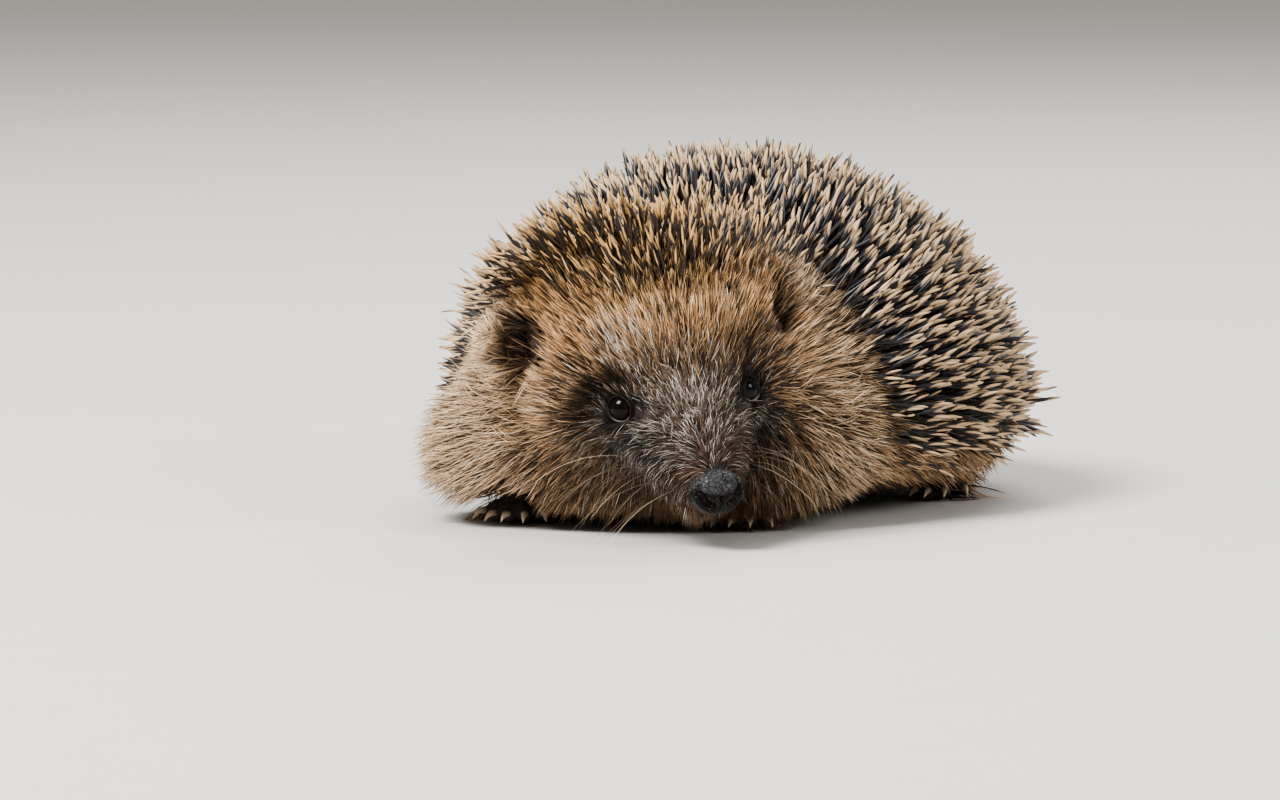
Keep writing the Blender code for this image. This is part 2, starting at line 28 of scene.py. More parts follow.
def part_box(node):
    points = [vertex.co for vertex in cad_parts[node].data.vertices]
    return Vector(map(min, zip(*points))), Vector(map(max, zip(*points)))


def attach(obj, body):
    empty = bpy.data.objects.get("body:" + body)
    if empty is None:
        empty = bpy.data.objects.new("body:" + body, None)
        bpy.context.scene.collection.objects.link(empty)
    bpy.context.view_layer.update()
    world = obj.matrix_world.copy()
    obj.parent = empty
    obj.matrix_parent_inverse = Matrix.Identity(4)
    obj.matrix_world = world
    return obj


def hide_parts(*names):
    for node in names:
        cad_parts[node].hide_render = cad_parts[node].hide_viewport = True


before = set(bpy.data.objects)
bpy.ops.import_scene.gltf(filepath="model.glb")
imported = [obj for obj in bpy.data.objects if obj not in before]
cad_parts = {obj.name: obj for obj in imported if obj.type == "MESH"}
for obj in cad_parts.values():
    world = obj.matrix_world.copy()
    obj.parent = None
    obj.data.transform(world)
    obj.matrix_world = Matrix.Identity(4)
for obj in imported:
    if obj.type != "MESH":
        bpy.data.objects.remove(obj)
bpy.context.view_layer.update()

MM = 0.001
BODY = "root"
ROOT_MAP = "OFBake"
PATCH = 0.003  # the width of one hair's own patch on the unwrap
MAP_MIDDLE = np.array([0.5, 0.5])
Array = np.ndarray
Pair = tuple[float, float]
Triple = tuple[float, float, float]
log = logging.getLogger("hedgehog")


class Side(Enum):
    """The animal's own sides, with the sign of the across axis."""

    LEFT = 1
    RIGHT = -1

    @property
    def word(self) -> str:
        """The side's name as the nodes spell it."""
        return self.name.lower()


class Place(Enum):
    """The axes that a zone's centre is given in."""

    HEAD = "head"
    FLOOR = "floor"


class Limb(Enum):
    """The two kinds of feet."""

    FORE = "fore"
    HIND = "hind"


class Piece(Enum):
    """The pieces that the fur is made in."""

    FACE = "face"
    BROW = "brow"
    CHEEK = "cheek"
    RUFF = "ruff"
    SKIRT = "skirt"
    BELLY = "belly"
    BACK = "back"

    @property
    def on_head(self) -> bool:
        """Whether left and right are those of the head."""
        return self in (Piece.FACE, Piece.BROW, Piece.CHEEK, Piece.RUFF)


# -------- arrays and meshes


def unit(vectors: Array) -> Array:
    """Scale each row to length one."""
    return vectors / np.maximum(np.linalg.norm(vectors, axis=-1, keepdims=True), 1e-12)


def ease(value: Array, low: float, high: float) -> Array:
    """Rise smoothly from 0 at `low` to 1 at `high`."""
    t = np.clip((value - low) / (high - low), 0, 1)
    return t * t * (3 - 2 * t)


def centre_of(node: str) -> Array:
    """Give the middle of a node's box."""
    low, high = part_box(node)
    return np.array((low + high) / 2)


def eye_radius(side: Side) -> float:
    """Give half the width of an eye's solid."""
    low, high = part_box(f"eye_{side.word}")
    return (high[0] - low[0]) / 2


def apart(points: Array, place: Array) -> Array:
    """Measure how far each point is from a place."""
    return np.linalg.norm(points - place, axis=-1)


def points_of(mesh: Mesh) -> Array:
    """Read a mesh's points as rows.

    Args:
        mesh: The mesh.

    Returns:
        A row of three numbers for each point.
    """
    flat = np.empty(len(mesh.vertices) * 3, np.float32)
    mesh.vertices.foreach_get("co", flat)
    return flat.reshape(-1, 3).astype(float)


def put_points(mesh: Mesh, points: Array) -> None:
    """Move a mesh's points to the rows given."""
    mesh.vertices.foreach_set("co", points.astype(np.float32).ravel())
    mesh.update()


def set_attribute(mesh: Mesh, name: str, kind: str, values: Array) -> None:
    """Store a value for each point of a mesh.

    Args:
        mesh: The mesh that carries the attribute.
        name: The attribute's name.
        kind: FLOAT, FLOAT_VECTOR or FLOAT_COLOR. A colour is given as three numbers.
        values: One row for each point.
    """
    attribute = mesh.attributes.new(name, kind, "POINT")
    if kind == "FLOAT_COLOR":
        values = np.concatenate([values, np.ones((len(values), 1))], axis=1)
    member = {"FLOAT": "value", "FLOAT_VECTOR": "vector", "FLOAT_COLOR": "color"}[kind]
    attribute.data.foreach_set(member, np.asarray(values, np.float32).ravel())


def linked(name: str, mesh: Mesh) -> Object:
    """Put a mesh in the scene as an object at the origin.

    Args:
        name: The object's name.
        mesh: Its mesh.

    Returns:
        The object.
    """
    obj = bpy.data.objects.new(name, mesh)
    bpy.context.scene.collection.objects.link(obj)
    return obj


def from_bmesh(bm: bmesh.types.BMesh, name: str) -> Mesh:
    """Turn a bmesh into a smooth mesh with its faces pointing out.

    Args:
        bm: The bmesh, which is freed.
        name: The mesh's name.

    Returns:
        The mesh.
    """
    bmesh.ops.recalc_face_normals(bm, faces=bm.faces)
    mesh = bpy.data.meshes.new(name)
    bm.to_mesh(mesh)
    bm.free()
    mesh.shade_smooth()
    return mesh


def settled(obj: Object) -> Mesh:
    """Replace an object by the plain mesh that its modifiers make, and remove the object.

    Args:
        obj: An object with modifiers.

    Returns:
        The mesh.
    """
    bpy.context.view_layer.update()
    evaluated = obj.evaluated_get(bpy.context.evaluated_depsgraph_get())
    mesh = bpy.data.meshes.new_from_object(evaluated)
    bpy.data.objects.remove(obj)
    mesh.shade_smooth()
    return mesh


def remeshed(mesh: Mesh, voxel: float, softening: int) -> Mesh:
    """Melt overlapping shapes into one even surface.

    Args:
        mesh: Closed shapes that overlap.
        voxel: The size of the surface's faces.
        softening: How often the surface is smoothed.

    Returns:
        The new mesh.
    """
    obj = linked(mesh.name, mesh)
    melt = obj.modifiers.new("melt", "REMESH")
    melt.mode = "VOXEL"
    melt.voxel_size = voxel
    soften = obj.modifiers.new("soften", "SMOOTH")
    soften.factor = 0.5
    soften.iterations = softening
    return settled(obj)


def united(mesh: Mesh, other: Mesh) -> Mesh:
    """Join two closed meshes that overlap into one closed mesh.

    Args:
        mesh: One mesh.
        other: The other.

    Returns:
        The mesh of both.
    """
    obj = linked(mesh.name, mesh)
    helper = linked("helper", other)
    union = obj.modifiers.new("union", "BOOLEAN")
    union.operation = "UNION"
    union.solver = "MANIFOLD"
    union.object = helper
    whole = settled(obj)
    bpy.data.objects.remove(helper)
    return whole


def joined(meshes: list[Mesh], name: str) -> Mesh:
    """Put several meshes in one.

    Args:
        meshes: The meshes to put together.
        name: The new mesh's name.

    Returns:
        The mesh.
    """
    bm = bmesh.new()
    for mesh in meshes:
        bm.from_mesh(mesh)
    return from_bmesh(bm, name)


def node_mesh(node: str, growth: float = 0.0) -> Mesh:
    """Copy a node's mesh as one merged surface, moved outward by `growth`.

    Args:
        node: The node's name.
        growth: How far each point moves outward.

    Returns:
        The copy.
    """
    bm = bmesh.new()
    bm.from_mesh(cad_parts[node].data)
    bmesh.ops.remove_doubles(bm, verts=bm.verts, dist=0.001 * MM)
    bm.normal_update()
    normals = [vertex.normal.copy() for vertex in bm.verts]
    for vertex, normal in zip(bm.verts, normals):
        vertex.co += normal * growth
    return from_bmesh(bm, node)


def ball_chain(name: str, places: Array, radii: Array) -> Mesh:
    """Make a row of overlapping balls between the places, as thick at each as its radius.

    Args:
        name: The mesh's name.
        places: Where the row starts, bends and ends.
        radii: How thick it is at each place.

    Returns:
        The balls as one mesh.
    """
    bm = bmesh.new()
    for start, end, first, last in zip(places, places[1:], radii, radii[1:]):
        closest = 0.4 * min(first, last)
        count = max(2, math.ceil(np.linalg.norm(end - start) / closest))
        for t in np.linspace(0, 1, count):
            matrix = Matrix.Translation(start + (end - start) * t)
            radius = first + (last - first) * t
            bmesh.ops.create_icosphere(bm, subdivisions=3, radius=radius, matrix=matrix)
    return from_bmesh(bm, name)


def vertex_normals(points: Array, triangles: Array) -> Array:
    """Work out the outward direction at each point of a surface.

    Args:
        points: The surface's points.
        triangles: The three corners of each triangle.

    Returns:
        A direction of length one for each point.
    """
    a, b, c = (points[triangles[:, corner]] for corner in range(3))
    facing = np.cross(b - a, c - a)
    total = np.zeros_like(points)
    for corner in range(3):
        np.add.at(total, triangles[:, corner], facing)
    return unit(total)


def averaged(values: Array, edges: Array, rounds: int) -> Array:
    """Even out a value over a surface by mixing each point with its neighbours.

    Args:
        values: The value at each point.
        edges: The two ends of each edge.
        rounds: How often it is evened out.

    Returns:
        The new value at each point.
    """
    count = np.bincount(edges.ravel(), minlength=len(values))[:, None]
    for _ in range(rounds):
        total = np.zeros_like(values)
        np.add.at(total, edges[:, 0], values[edges[:, 1]])
        np.add.at(total, edges[:, 1], values[edges[:, 0]])
        values = (values + total / count) / 2
    return values


@dataclass
class Roots:
    """Places on the skin where hairs grow."""

    points: Array
    normals: Array
    uv: Array

    def __len__(self) -> int:
        """Count the places."""
        return len(self.points)

    def chosen(self, mask: Array) -> "Roots":
        """Keep the places that the mask names."""
        return Roots(self.points[mask], self.normals[mask], self.uv[mask])


@dataclass
class Surface:
    """A mesh read as arrays: its points, triangles, normals and unwrap."""

    points: Array
    triangles: Array
    edges: Array
    uv: Array | None

    @classmethod
    def of(cls, mesh: Mesh) -> "Surface":
        """Read a mesh.

        Args:
            mesh: The mesh.

        Returns:
            Its arrays.
        """
        mesh.calc_loop_triangles()
        triangles = np.empty(len(mesh.loop_triangles) * 3, np.int32)
        mesh.loop_triangles.foreach_get("vertices", triangles)
        edges = np.empty(len(mesh.edges) * 2, np.int32)
        mesh.edges.foreach_get("vertices", edges)
        uv = None
        if ROOT_MAP in mesh.uv_layers:
            loops = np.empty(len(mesh.loop_triangles) * 3, np.int32)
            mesh.loop_triangles.foreach_get("loops", loops)
            flat = np.empty(len(mesh.loops) * 2, np.float32)
            mesh.uv_layers[ROOT_MAP].uv.foreach_get("vector", flat)
            uv = flat.reshape(-1, 2)[loops].reshape(-1, 3, 2)
        return cls(points_of(mesh), triangles.reshape(-1, 3), edges.reshape(-1, 2), uv)

    @cached_property
    def normals(self) -> Array:
        """The outward direction at each point."""
        return vertex_normals(self.points, self.triangles)

    @cached_property
    def corners(self) -> Array:
        """The three corners of each triangle."""
        return self.points[self.triangles]

    def scatter(self, density: Array, rng: Generator) -> Roots:
        """Strew places over the surface.

        Args:
            density: How many places each triangle gets for a square metre.
            rng: The source of chance.

        Returns:
            The places, with their normals and their points on the unwrap.
        """
        a, b, c = np.moveaxis(self.corners, 1, 0)
        share = np.linalg.norm(np.cross(b - a, c - a), axis=1) / 2 * density
        count = int(share.sum())
        face = rng.choice(len(share), size=count, p=share / share.sum())
        first = np.sqrt(rng.random(count))
        second = rng.random(count)
        weights = np.stack([1 - first, first * (1 - second), first * second], axis=1)[:, :, None]
        return Roots(
            (self.corners[face] * weights).sum(1),
            unit((self.normals[self.triangles[face]] * weights).sum(1)),
            (self.uv[face] * weights).sum(1),
        )


@dataclass
class Strands:
    """Many tapered strands with the same number of rings and sides, as one closed mesh."""

    paths: Array
    radii: Array
    ups: Array
    sides: int
    root_uv: Array

    def template(self) -> tuple[Array, Array, Array]:
        """List one strand's faces.

        Returns:
            The corners of all faces in a row, each face's corner count, and each corner's place on
            the strand's own patch, round it and along it.
        """
        rings = self.paths.shape[1] - 1
        sides = self.sides
        corners = []
        counts = []
        places = []
        for ring in range(rings):
            low = ring / rings
            high = (ring + 1) / rings
            base = ring * sides
            for side in range(sides):
                after = (side + 1) % sides
                left = side / sides
                right = (side + 1) / sides
                if ring < rings - 1:
                    corners += [base + side, base + after, base + sides + after, base + sides + side]
                    places += [(left, low), (right, low), (right, high), (left, high)]
                    counts.append(4)
                else:
                    corners += [base + side, base + after, rings * sides]
                    places += [(left, low), (right, low), ((left + right) / 2, high)]
                    counts.append(3)
        corners += list(range(sides - 1, -1, -1))
        places += [(side / sides, 0) for side in range(sides)]
        counts.append(sides)
        return np.array(corners), np.array(counts), np.array(places)

    def mesh(self, name: str) -> Mesh:
        """Make the mesh, with how far along the strand each point is and the unwrap of the roots.

        Args:
            name: The mesh's name.

        Returns:
            The mesh.
        """
        count, knots, _ = self.paths.shape
        heading = unit(np.gradient(self.paths, axis=1))
        across = unit(np.cross(self.ups[:, None], heading))
        over = np.cross(heading, across)
        angles = 2 * math.pi * np.arange(self.sides) / self.sides
        rings = (
            across[:, :-1, None] * np.cos(angles)[:, None] + over[:, :-1, None] * np.sin(angles)[:, None]
        ) * self.radii[:, :-1, None, None]
        body = (self.paths[:, :-1, None] + rings).reshape(count, -1, 3)
        points = np.concatenate([body, self.paths[:, -1:]], axis=1)
        corners, counts, places = self.template()
        loops = (corners + np.arange(count)[:, None] * points.shape[1]).ravel()
        totals = np.tile(counts, count)
        mesh = bpy.data.meshes.new(name)
        mesh.vertices.add(count * points.shape[1])
        mesh.loops.add(len(loops))
        mesh.polygons.add(len(totals))
        mesh.vertices.foreach_set("co", points.astype(np.float32).ravel())
        mesh.loops.foreach_set("vertex_index", loops.astype(np.int32))
        starts = np.concatenate([[0], np.cumsum(totals)[:-1]])
        mesh.polygons.foreach_set("loop_start", starts.astype(np.int32))
        mesh.polygons.foreach_set("loop_total", totals.astype(np.int32))
        mesh.update(calc_edges=True)
        along = np.append(np.repeat(np.arange(knots - 1), self.sides), knots - 1) / (knots - 1)
        set_attribute(mesh, "along", "FLOAT", np.tile(along, count))
        patch = mesh.uv_layers.new(name=ROOT_MAP)
        uv = self.root_uv[:, None] + (places - 0.5)[None] * PATCH
        patch.uv.foreach_set("vector", uv.astype(np.float32).ravel())
        mesh.shade_smooth()
        return mesh

    def dress(self, mesh: Mesh, tint: Array, shade: Array) -> None:
        """Store each strand's colour and shade on all its points.

        Args:
            mesh: The strands' mesh.
            tint: A colour for each strand.
            shade: A number for each strand.
        """
        repeats = (self.paths.shape[1] - 1) * self.sides + 1
        set_attribute(mesh, "tint", "FLOAT_COLOR", np.repeat(tint, repeats, axis=0))
        set_attribute(mesh, "shade", "FLOAT", np.repeat(shade, repeats))


class Ceiling:
    """The outline of the animal with its coat on, which the tips of the hairs reach."""

    def __init__(self, surface: Surface) -> None:
        """Keep the outline for quick searches."""
        self.tree = BVHTree.FromPolygons(surface.points.tolist(), surface.triangles.tolist())

    def height(self, points: Array) -> Array:
        """Say how far each point is above the outline. Points under it get less than zero.

        Args:
            points: Places in the row frame.

        Returns:
            A height for each place, in metres.
        """
        above = np.empty(len(points))
        for index, point in enumerate(points):
            place, normal, _, _ = self.tree.find_nearest(point)
            gap = Vector(point) - place
            above[index] = math.copysign(gap.length, gap.dot(normal))
        return above


def sideways(vectors: Array, normals: Array, share: float = 0.7) -> Array:
    """Take most of a vector's outward part away."""
    return vectors - normals * (vectors * normals).sum(-1, keepdims=True) * share


# -------- the head's frame and the coat's zones


@dataclass(frozen=True)
class HeadFrame:
    """The head's own axes, with their origin at the tip of the nose."""

    turn: float = math.radians(50)
    dip: float = math.radians(42.8)
    tilt: float = math.radians(9.8)
    eye_back: float = 27 * MM
    eye_up: float = 1.5 * MM
    eye_look: Triple = (0.62, -0.45, 0.64)

    @cached_property
    def axes(self) -> Array:
        """Rows that point across to the left, back and up."""
        turned = Matrix.Rotation(self.turn, 3, "Z") @ Matrix.Rotation(self.dip, 3, "X")
        return np.array(turned @ Matrix.Rotation(-self.tilt, 3, "Y")).T

    @cached_property
    def origin(self) -> Array:
        """The tip of the nose, worked out from the two eyes."""
        eyes = (centre_of("eye_left") + centre_of("eye_right")) / 2
        return eyes - np.array([0, self.eye_back, self.eye_up]) @ self.axes

    def into(self, points: Array) -> Array:
        """Give points in the head's frame."""
        return (points - self.origin) @ self.axes.T

    def out(self, points: Array) -> Array:
        """Give points of the head's frame in the row frame."""
        return np.asarray(points) @ self.axes + self.origin

    def way(self, direction: Triple, side: Side = Side.LEFT) -> Array:
        """Give a direction of the head's frame in the row frame, mirrored for the right side."""
        across, back, up = direction
        return unit(np.array([across * side.value, back, up], float) @ self.axes)

    def look(self, side: Side) -> Array:
        """Give the direction in which an eye looks."""
        return self.way(self.eye_look, side)


@dataclass(frozen=True)
class Zone:
    """One patch of the coat and what grows there, on both sides or on `only` one.

    Lengths are in mm, and density is in hairs for a square mm. A zone fades out over its reach, and
    where zones meet the coat is a mixture of them. `white` and `dim` are the shares of white and of
    dark hairs; the dark hairs fall in streaks, partly dark hair and partly painted shade in the gaps
    between locks. The dark band of a quill ends at `band` of its length, and is black where `warm` is
    0 and brown where it is 1.
    """

    place: Place
    centre: Triple
    reach: Triple
    piece: Piece
    depth: float
    length: float
    width: float
    density: float
    tip: Triple
    skin: Triple = (0.09, 0.055, 0.038)
    white: float = 0.0
    dim: float = 0.1
    fall: float = 0.0
    stray: float = 0.2
    quills: float = 0.0
    band: float = 0.82
    warm: float = 0.0
    only: Side | None = None


TAN = (0.58, 0.355, 0.19)
GOLD = (0.62, 0.355, 0.105)
BEIGE = (0.76, 0.52, 0.33)
PALE = (0.86, 0.68, 0.49)
SMOKE = (0.027, 0.026, 0.026)
SOOT = (0.016, 0.013, 0.012)
ROSE = (0.12, 0.075, 0.055)
UMBER = (0.25, 0.165, 0.10)
CREAM = (0.60, 0.42, 0.245)
# Near-black skin: the dark skin of feet and legs, and painted shade under the quills and inside the ears.
DARK_SKIN_AND_SHADE = (0.035, 0.026, 0.022)
FACE_SKIN = (0.045, 0.032, 0.026)
HEAD = Place.HEAD
FLOOR = Place.FLOOR

ZONES = {
    "nose": Zone(HEAD, (0, 3, 0), (5, 4, 5), Piece.FACE, depth=0.7, length=1.6, width=0.1, density=5,
        tip=ROSE, skin=FACE_SKIN),
    "snout": Zone(HEAD, (0, 10, 6), (5, 5, 4), Piece.FACE, depth=1.1, length=3.2, width=0.11, density=20,
        tip=ROSE, skin=FACE_SKIN, white=0.16, stray=0.35),
    "lip": Zone(HEAD, (7, 9, -3), (5, 6, 4), Piece.FACE, depth=1.5, length=4.2, width=0.12, density=16,
        tip=ROSE, skin=FACE_SKIN, white=0.05, fall=0.15, stray=0.35),
    "chin": Zone(HEAD, (0, 10, -9), (12, 9, 6), Piece.FACE, depth=1.6, length=13.5, width=0.14,
        density=14, tip=(0.19, 0.115, 0.065), skin=(0.03, 0.018, 0.012), fall=9.0, stray=0.7, dim=0.3),
    "beard": Zone(HEAD, (13, 16, -13), (8, 7, 5), Piece.FACE, depth=2.0, length=13, width=0.16,
        density=13, tip=(0.26, 0.165, 0.095), fall=5.0, stray=0.35, dim=0.2),
    "muzzle": Zone(HEAD, (11, 16, -5), (6, 7, 8), Piece.FACE, depth=1.9, length=5.6, width=0.13,
        density=17, tip=SMOKE, skin=FACE_SKIN, white=0.22, stray=0.5),
    "bridge": Zone(HEAD, (0, 18.5, 9), (7, 7, 5), Piece.FACE, depth=1.7, length=5.6, width=0.12,
        density=17, tip=(0.17, 0.125, 0.09), skin=FACE_SKIN, white=0.28, stray=0.5),
    "mask": Zone(HEAD, (14.5, 28, 3), (7, 7.5, 7.5), Piece.FACE, depth=0.8, length=2.8, width=0.12,
        density=22, tip=SOOT, skin=(0.012, 0.009, 0.008)),
    "underlid": Zone(HEAD, (14, 20, -6), (6, 7, 8), Piece.FACE, depth=1.7, length=5.8, width=0.12,
        density=16, tip=SMOKE, skin=FACE_SKIN, white=0.24, stray=0.75),
    "brow": Zone(HEAD, (6, 29.5, 14), (9, 4.5, 6), Piece.BROW, depth=2.4, length=9, width=0.14,
        density=10, tip=(0.37, 0.235, 0.14), white=0.04, stray=0.25, dim=0.2),
    "fleck": Zone(HEAD, (11.5, 29.5, 12.5), (2.8, 3.6, 3.6), Piece.BROW, depth=2.2, length=7, width=0.14,
        density=14, tip=(0.5, 0.41, 0.32), white=0.9, stray=0.35, only=Side.RIGHT),
    "forehead": Zone(HEAD, (0, 34, 17), (21, 6, 8), Piece.BROW, depth=4.0, length=13.5, width=0.2,
        density=5.2, tip=TAN, stray=0.12, dim=0.4),
    "hairline": Zone(HEAD, (0, 41, 20), (25, 6.5, 9), Piece.BROW, depth=6, length=11.5, width=0.62,
        density=0.9, tip=(0.6, 0.38, 0.17), quills=1.0, band=0.76, warm=1.0, stray=0.3, dim=0.5),
    "temple": Zone(HEAD, (20, 39, 10), (9, 8, 8), Piece.BROW, depth=3.5, length=12, width=0.2,
        density=5.5, tip=TAN, stray=0.14, dim=0.35),
    "cheek": Zone(HEAD, (25, 35, -8), (10, 11, 12), Piece.CHEEK, depth=4.5, length=13, width=0.22,
        density=5.5, tip=BEIGE, fall=0.05, stray=0.22, dim=0.3),
    "sweep": Zone(HEAD, (31, 28, -9), (6, 12, 13), Piece.CHEEK, depth=5.5, length=17, width=0.25,
        density=3.6, tip=PALE, fall=0.05, stray=0.4, dim=0.3),
    # The ear's near-black skin is painted shade inside the ear.
    "ear": Zone(HEAD, (27.5, 50, -1), (3.2, 2.5, 4.5), Piece.CHEEK, depth=1.0, length=6.0, width=0.13,
        density=12, tip=(0.72, 0.54, 0.38), skin=DARK_SKIN_AND_SHADE, stray=0.3, dim=0.15),
    # The left ear's concha: its dark hair and near-black skin are painted shade in the ear's hollow, which
    # its depth also sinks into a pit.
    "concha": Zone(HEAD, (26.5, 44.5, 7), (2.8, 5.0, 3.5), Piece.CHEEK, depth=6.5, length=2.0, width=0.12,
        density=6, tip=(0.05, 0.035, 0.028), skin=DARK_SKIN_AND_SHADE, only=Side.LEFT),
    "throat": Zone(HEAD, (10, 28, -18), (16, 13, 8), Piece.CHEEK, depth=3.0, length=9.5, width=0.2,
        density=6, tip=(0.17, 0.115, 0.072), fall=0.8, stray=0.4),
    "ruff": Zone(HEAD, (38, 52, -20), (13, 14, 14), Piece.RUFF, depth=6.0, length=18, width=0.22,
        density=4.2, tip=(0.78, 0.59, 0.41), fall=0.05, stray=0.35, dim=0.22, only=Side.RIGHT),
    "side": Zone(HEAD, (38, 62, 8), (10, 10, 12), Piece.RUFF, depth=6.5, length=12, width=0.85,
        density=3.2, tip=(0.74, 0.58, 0.42), quills=0.85, band=0.66, warm=0.4, only=Side.RIGHT),
    "verge": Zone(HEAD, (36, 46, 4), (6.5, 12, 12), Piece.RUFF, depth=6.5, length=14, width=0.95,
        density=0.8, tip=(0.74, 0.56, 0.39), quills=0.85, band=0.78, warm=0.3, stray=0.35, dim=0.25,
        only=Side.LEFT),
    # Near-black skin under the shoulder's quills is painted shade between them.
    "shoulder": Zone(HEAD, (47.5, 45, 0), (12, 20, 18), Piece.BACK, depth=9.5, length=14, width=1.15,
        density=0.3, tip=CREAM, skin=DARK_SKIN_AND_SHADE, quills=1.0, stray=0.3, only=Side.LEFT),
    "breast": Zone(FLOOR, (0, -45, 4), (30, 18, 8), Piece.BELLY, depth=4.0, length=11, width=0.28,
        density=0.8, tip=UMBER, fall=0.3),
    "skirt": Zone(FLOOR, (57, 10, 7), (16, 50, 8), Piece.SKIRT, depth=8.0, length=17, width=0.28,
        density=2.2, tip=BEIGE, fall=0.45, dim=0.25),
    "hem": Zone(FLOOR, (0, 76, 7), (42, 14, 8), Piece.SKIRT, depth=8.0, length=12, width=0.28,
        density=2.2, tip=BEIGE, fall=0.45),
    "belly": Zone(FLOOR, (0, 10, 0), (38, 55, 6), Piece.BELLY, depth=3.0, length=8, width=0.3,
        density=0.3, tip=UMBER),
    "legs": Zone(FLOOR, (32, 0, 6), (9, 50, 5), Piece.BELLY, depth=1.0, length=4.0, width=0.2,
        density=0.5, tip=(0.16, 0.11, 0.08), skin=DARK_SKIN_AND_SHADE),
    "crown": Zone(HEAD, (0, 59, 17), (29, 12, 14), Piece.BACK, depth=7.5, length=13.5, width=0.74,
        density=0.6, tip=GOLD, quills=1.0, warm=1.0),
    # Back, flank and rump: near-black skin under the quills is painted shade between them.
    "back": Zone(FLOOR, (0, 38, 60), (46, 38, 24), Piece.BACK, depth=11, length=14, width=1.1,
        density=0.05, tip=CREAM, skin=DARK_SKIN_AND_SHADE, quills=1.0, band=0.84),
    "flank": Zone(FLOOR, (57, 26, 32), (18, 45, 14), Piece.BACK, depth=11, length=14, width=1.15,
        density=0.1, tip=CREAM, skin=DARK_SKIN_AND_SHADE, quills=1.0),
    "rump": Zone(FLOOR, (0, 80, 38), (46, 18, 20), Piece.BACK, depth=11, length=14, width=1.2,
        density=0.1, tip=CREAM, skin=DARK_SKIN_AND_SHADE, quills=1.0),
}


class CoatMap:
    """Blends the zones, so that any place on the animal knows its coat."""

    def __init__(self, head: HeadFrame) -> None:
        """Keep the head's frame and the zones in their order."""
        self.head = head
        self.zones = list(ZONES.values())

    def shares(self, points: Array) -> Array:
        """Say how much each zone counts at each point, in rows that add up to one.

        Args:
            points: Places in the row frame.

        Returns:
            A row for each place and a column for each zone.
        """
        places = {Place.HEAD: self.head.into(points) / MM, Place.FLOOR: points / MM}
        score = np.empty((len(points), len(self.zones)))
        for column, zone in enumerate(self.zones):
            place = places[zone.place].copy()
            place[:, 0] *= zone.only.value if zone.only else np.sign(place[:, 0])
            score[:, column] = -0.5 * (((place - zone.centre) / zone.reach) ** 2).sum(1)
        weight = np.exp(score - score.max(1, keepdims=True))
        return weight / weight.sum(1, keepdims=True)

    @property
    def quilled(self) -> Array:
        """Give each zone's share of quills."""
        return np.array([zone.quills for zone in self.zones])

    @property
    def tips(self) -> Array:
        """The zones' own colours, in rows."""
        return np.array([zone.tip for zone in self.zones])

    @staticmethod
    def sharper(shares: Array) -> Array:
        """Give the larger shares more."""
        return shares**2 / (shares**2).sum(1, keepdims=True)

    def blend(self, shares: Array, name: str) -> Array:
        """Mix one of the zones' numbers or colours by the shares given."""
        return shares @ np.array([getattr(zone, name) for zone in self.zones], float)


@dataclass(frozen=True)
class Lie:
    """The way the coat lies: away from the nose over the face, then back over the body to the tail.

    Hairs point away from the nose up to `near`, away from a place inside the head beyond `far`, and
    more and more towards the tail from `body_start` on. Round the eyes they part.
    """

    head: HeadFrame
    nose: Triple = (0, 3, 2)
    crown: Triple = (0, 27, -4)
    tail: Triple = (0, 92, 8)
    near: float = 12 * MM
    far: float = 55 * MM
    body_start: float = -10 * MM
    body_end: float = 70 * MM
    body_pull: float = 0.75
    eye_part: float = 5 * MM
    eye_push: float = 1.2

    def at(self, points: Array, normals: Array, fall: Array) -> Array:
        """Give the direction along the skin in which hairs lie.

        Args:
            points: Places on the skin.
            normals: The outward direction at each.
            fall: How strongly each is drawn towards the floor.

        Returns:
            Directions of length one, along the skin.
        """
        nose = self.head.out(np.array(self.nose) * MM)
        crown = self.head.out(np.array(self.crown) * MM)
        tail = np.array(self.tail) * MM
        far = ease(apart(points, nose), self.near, self.far)[:, None]
        behind = self.body_pull * ease(points[:, 1:2], self.body_start, self.body_end)
        way = unit(points - nose) * (1 - far) + unit(points - crown) * far
        way = way * (1 - behind) + unit(tail - points) * behind
        for side in Side:
            gap = points - centre_of(f"eye_{side.word}")
            near = np.exp(-((np.linalg.norm(gap, axis=1) / self.eye_part) ** 2))[:, None]
            way += unit(gap) * near * self.eye_push
        way[:, 2] -= fall
        return unit(sideways(way, normals, 1.0))


# -------- finishes


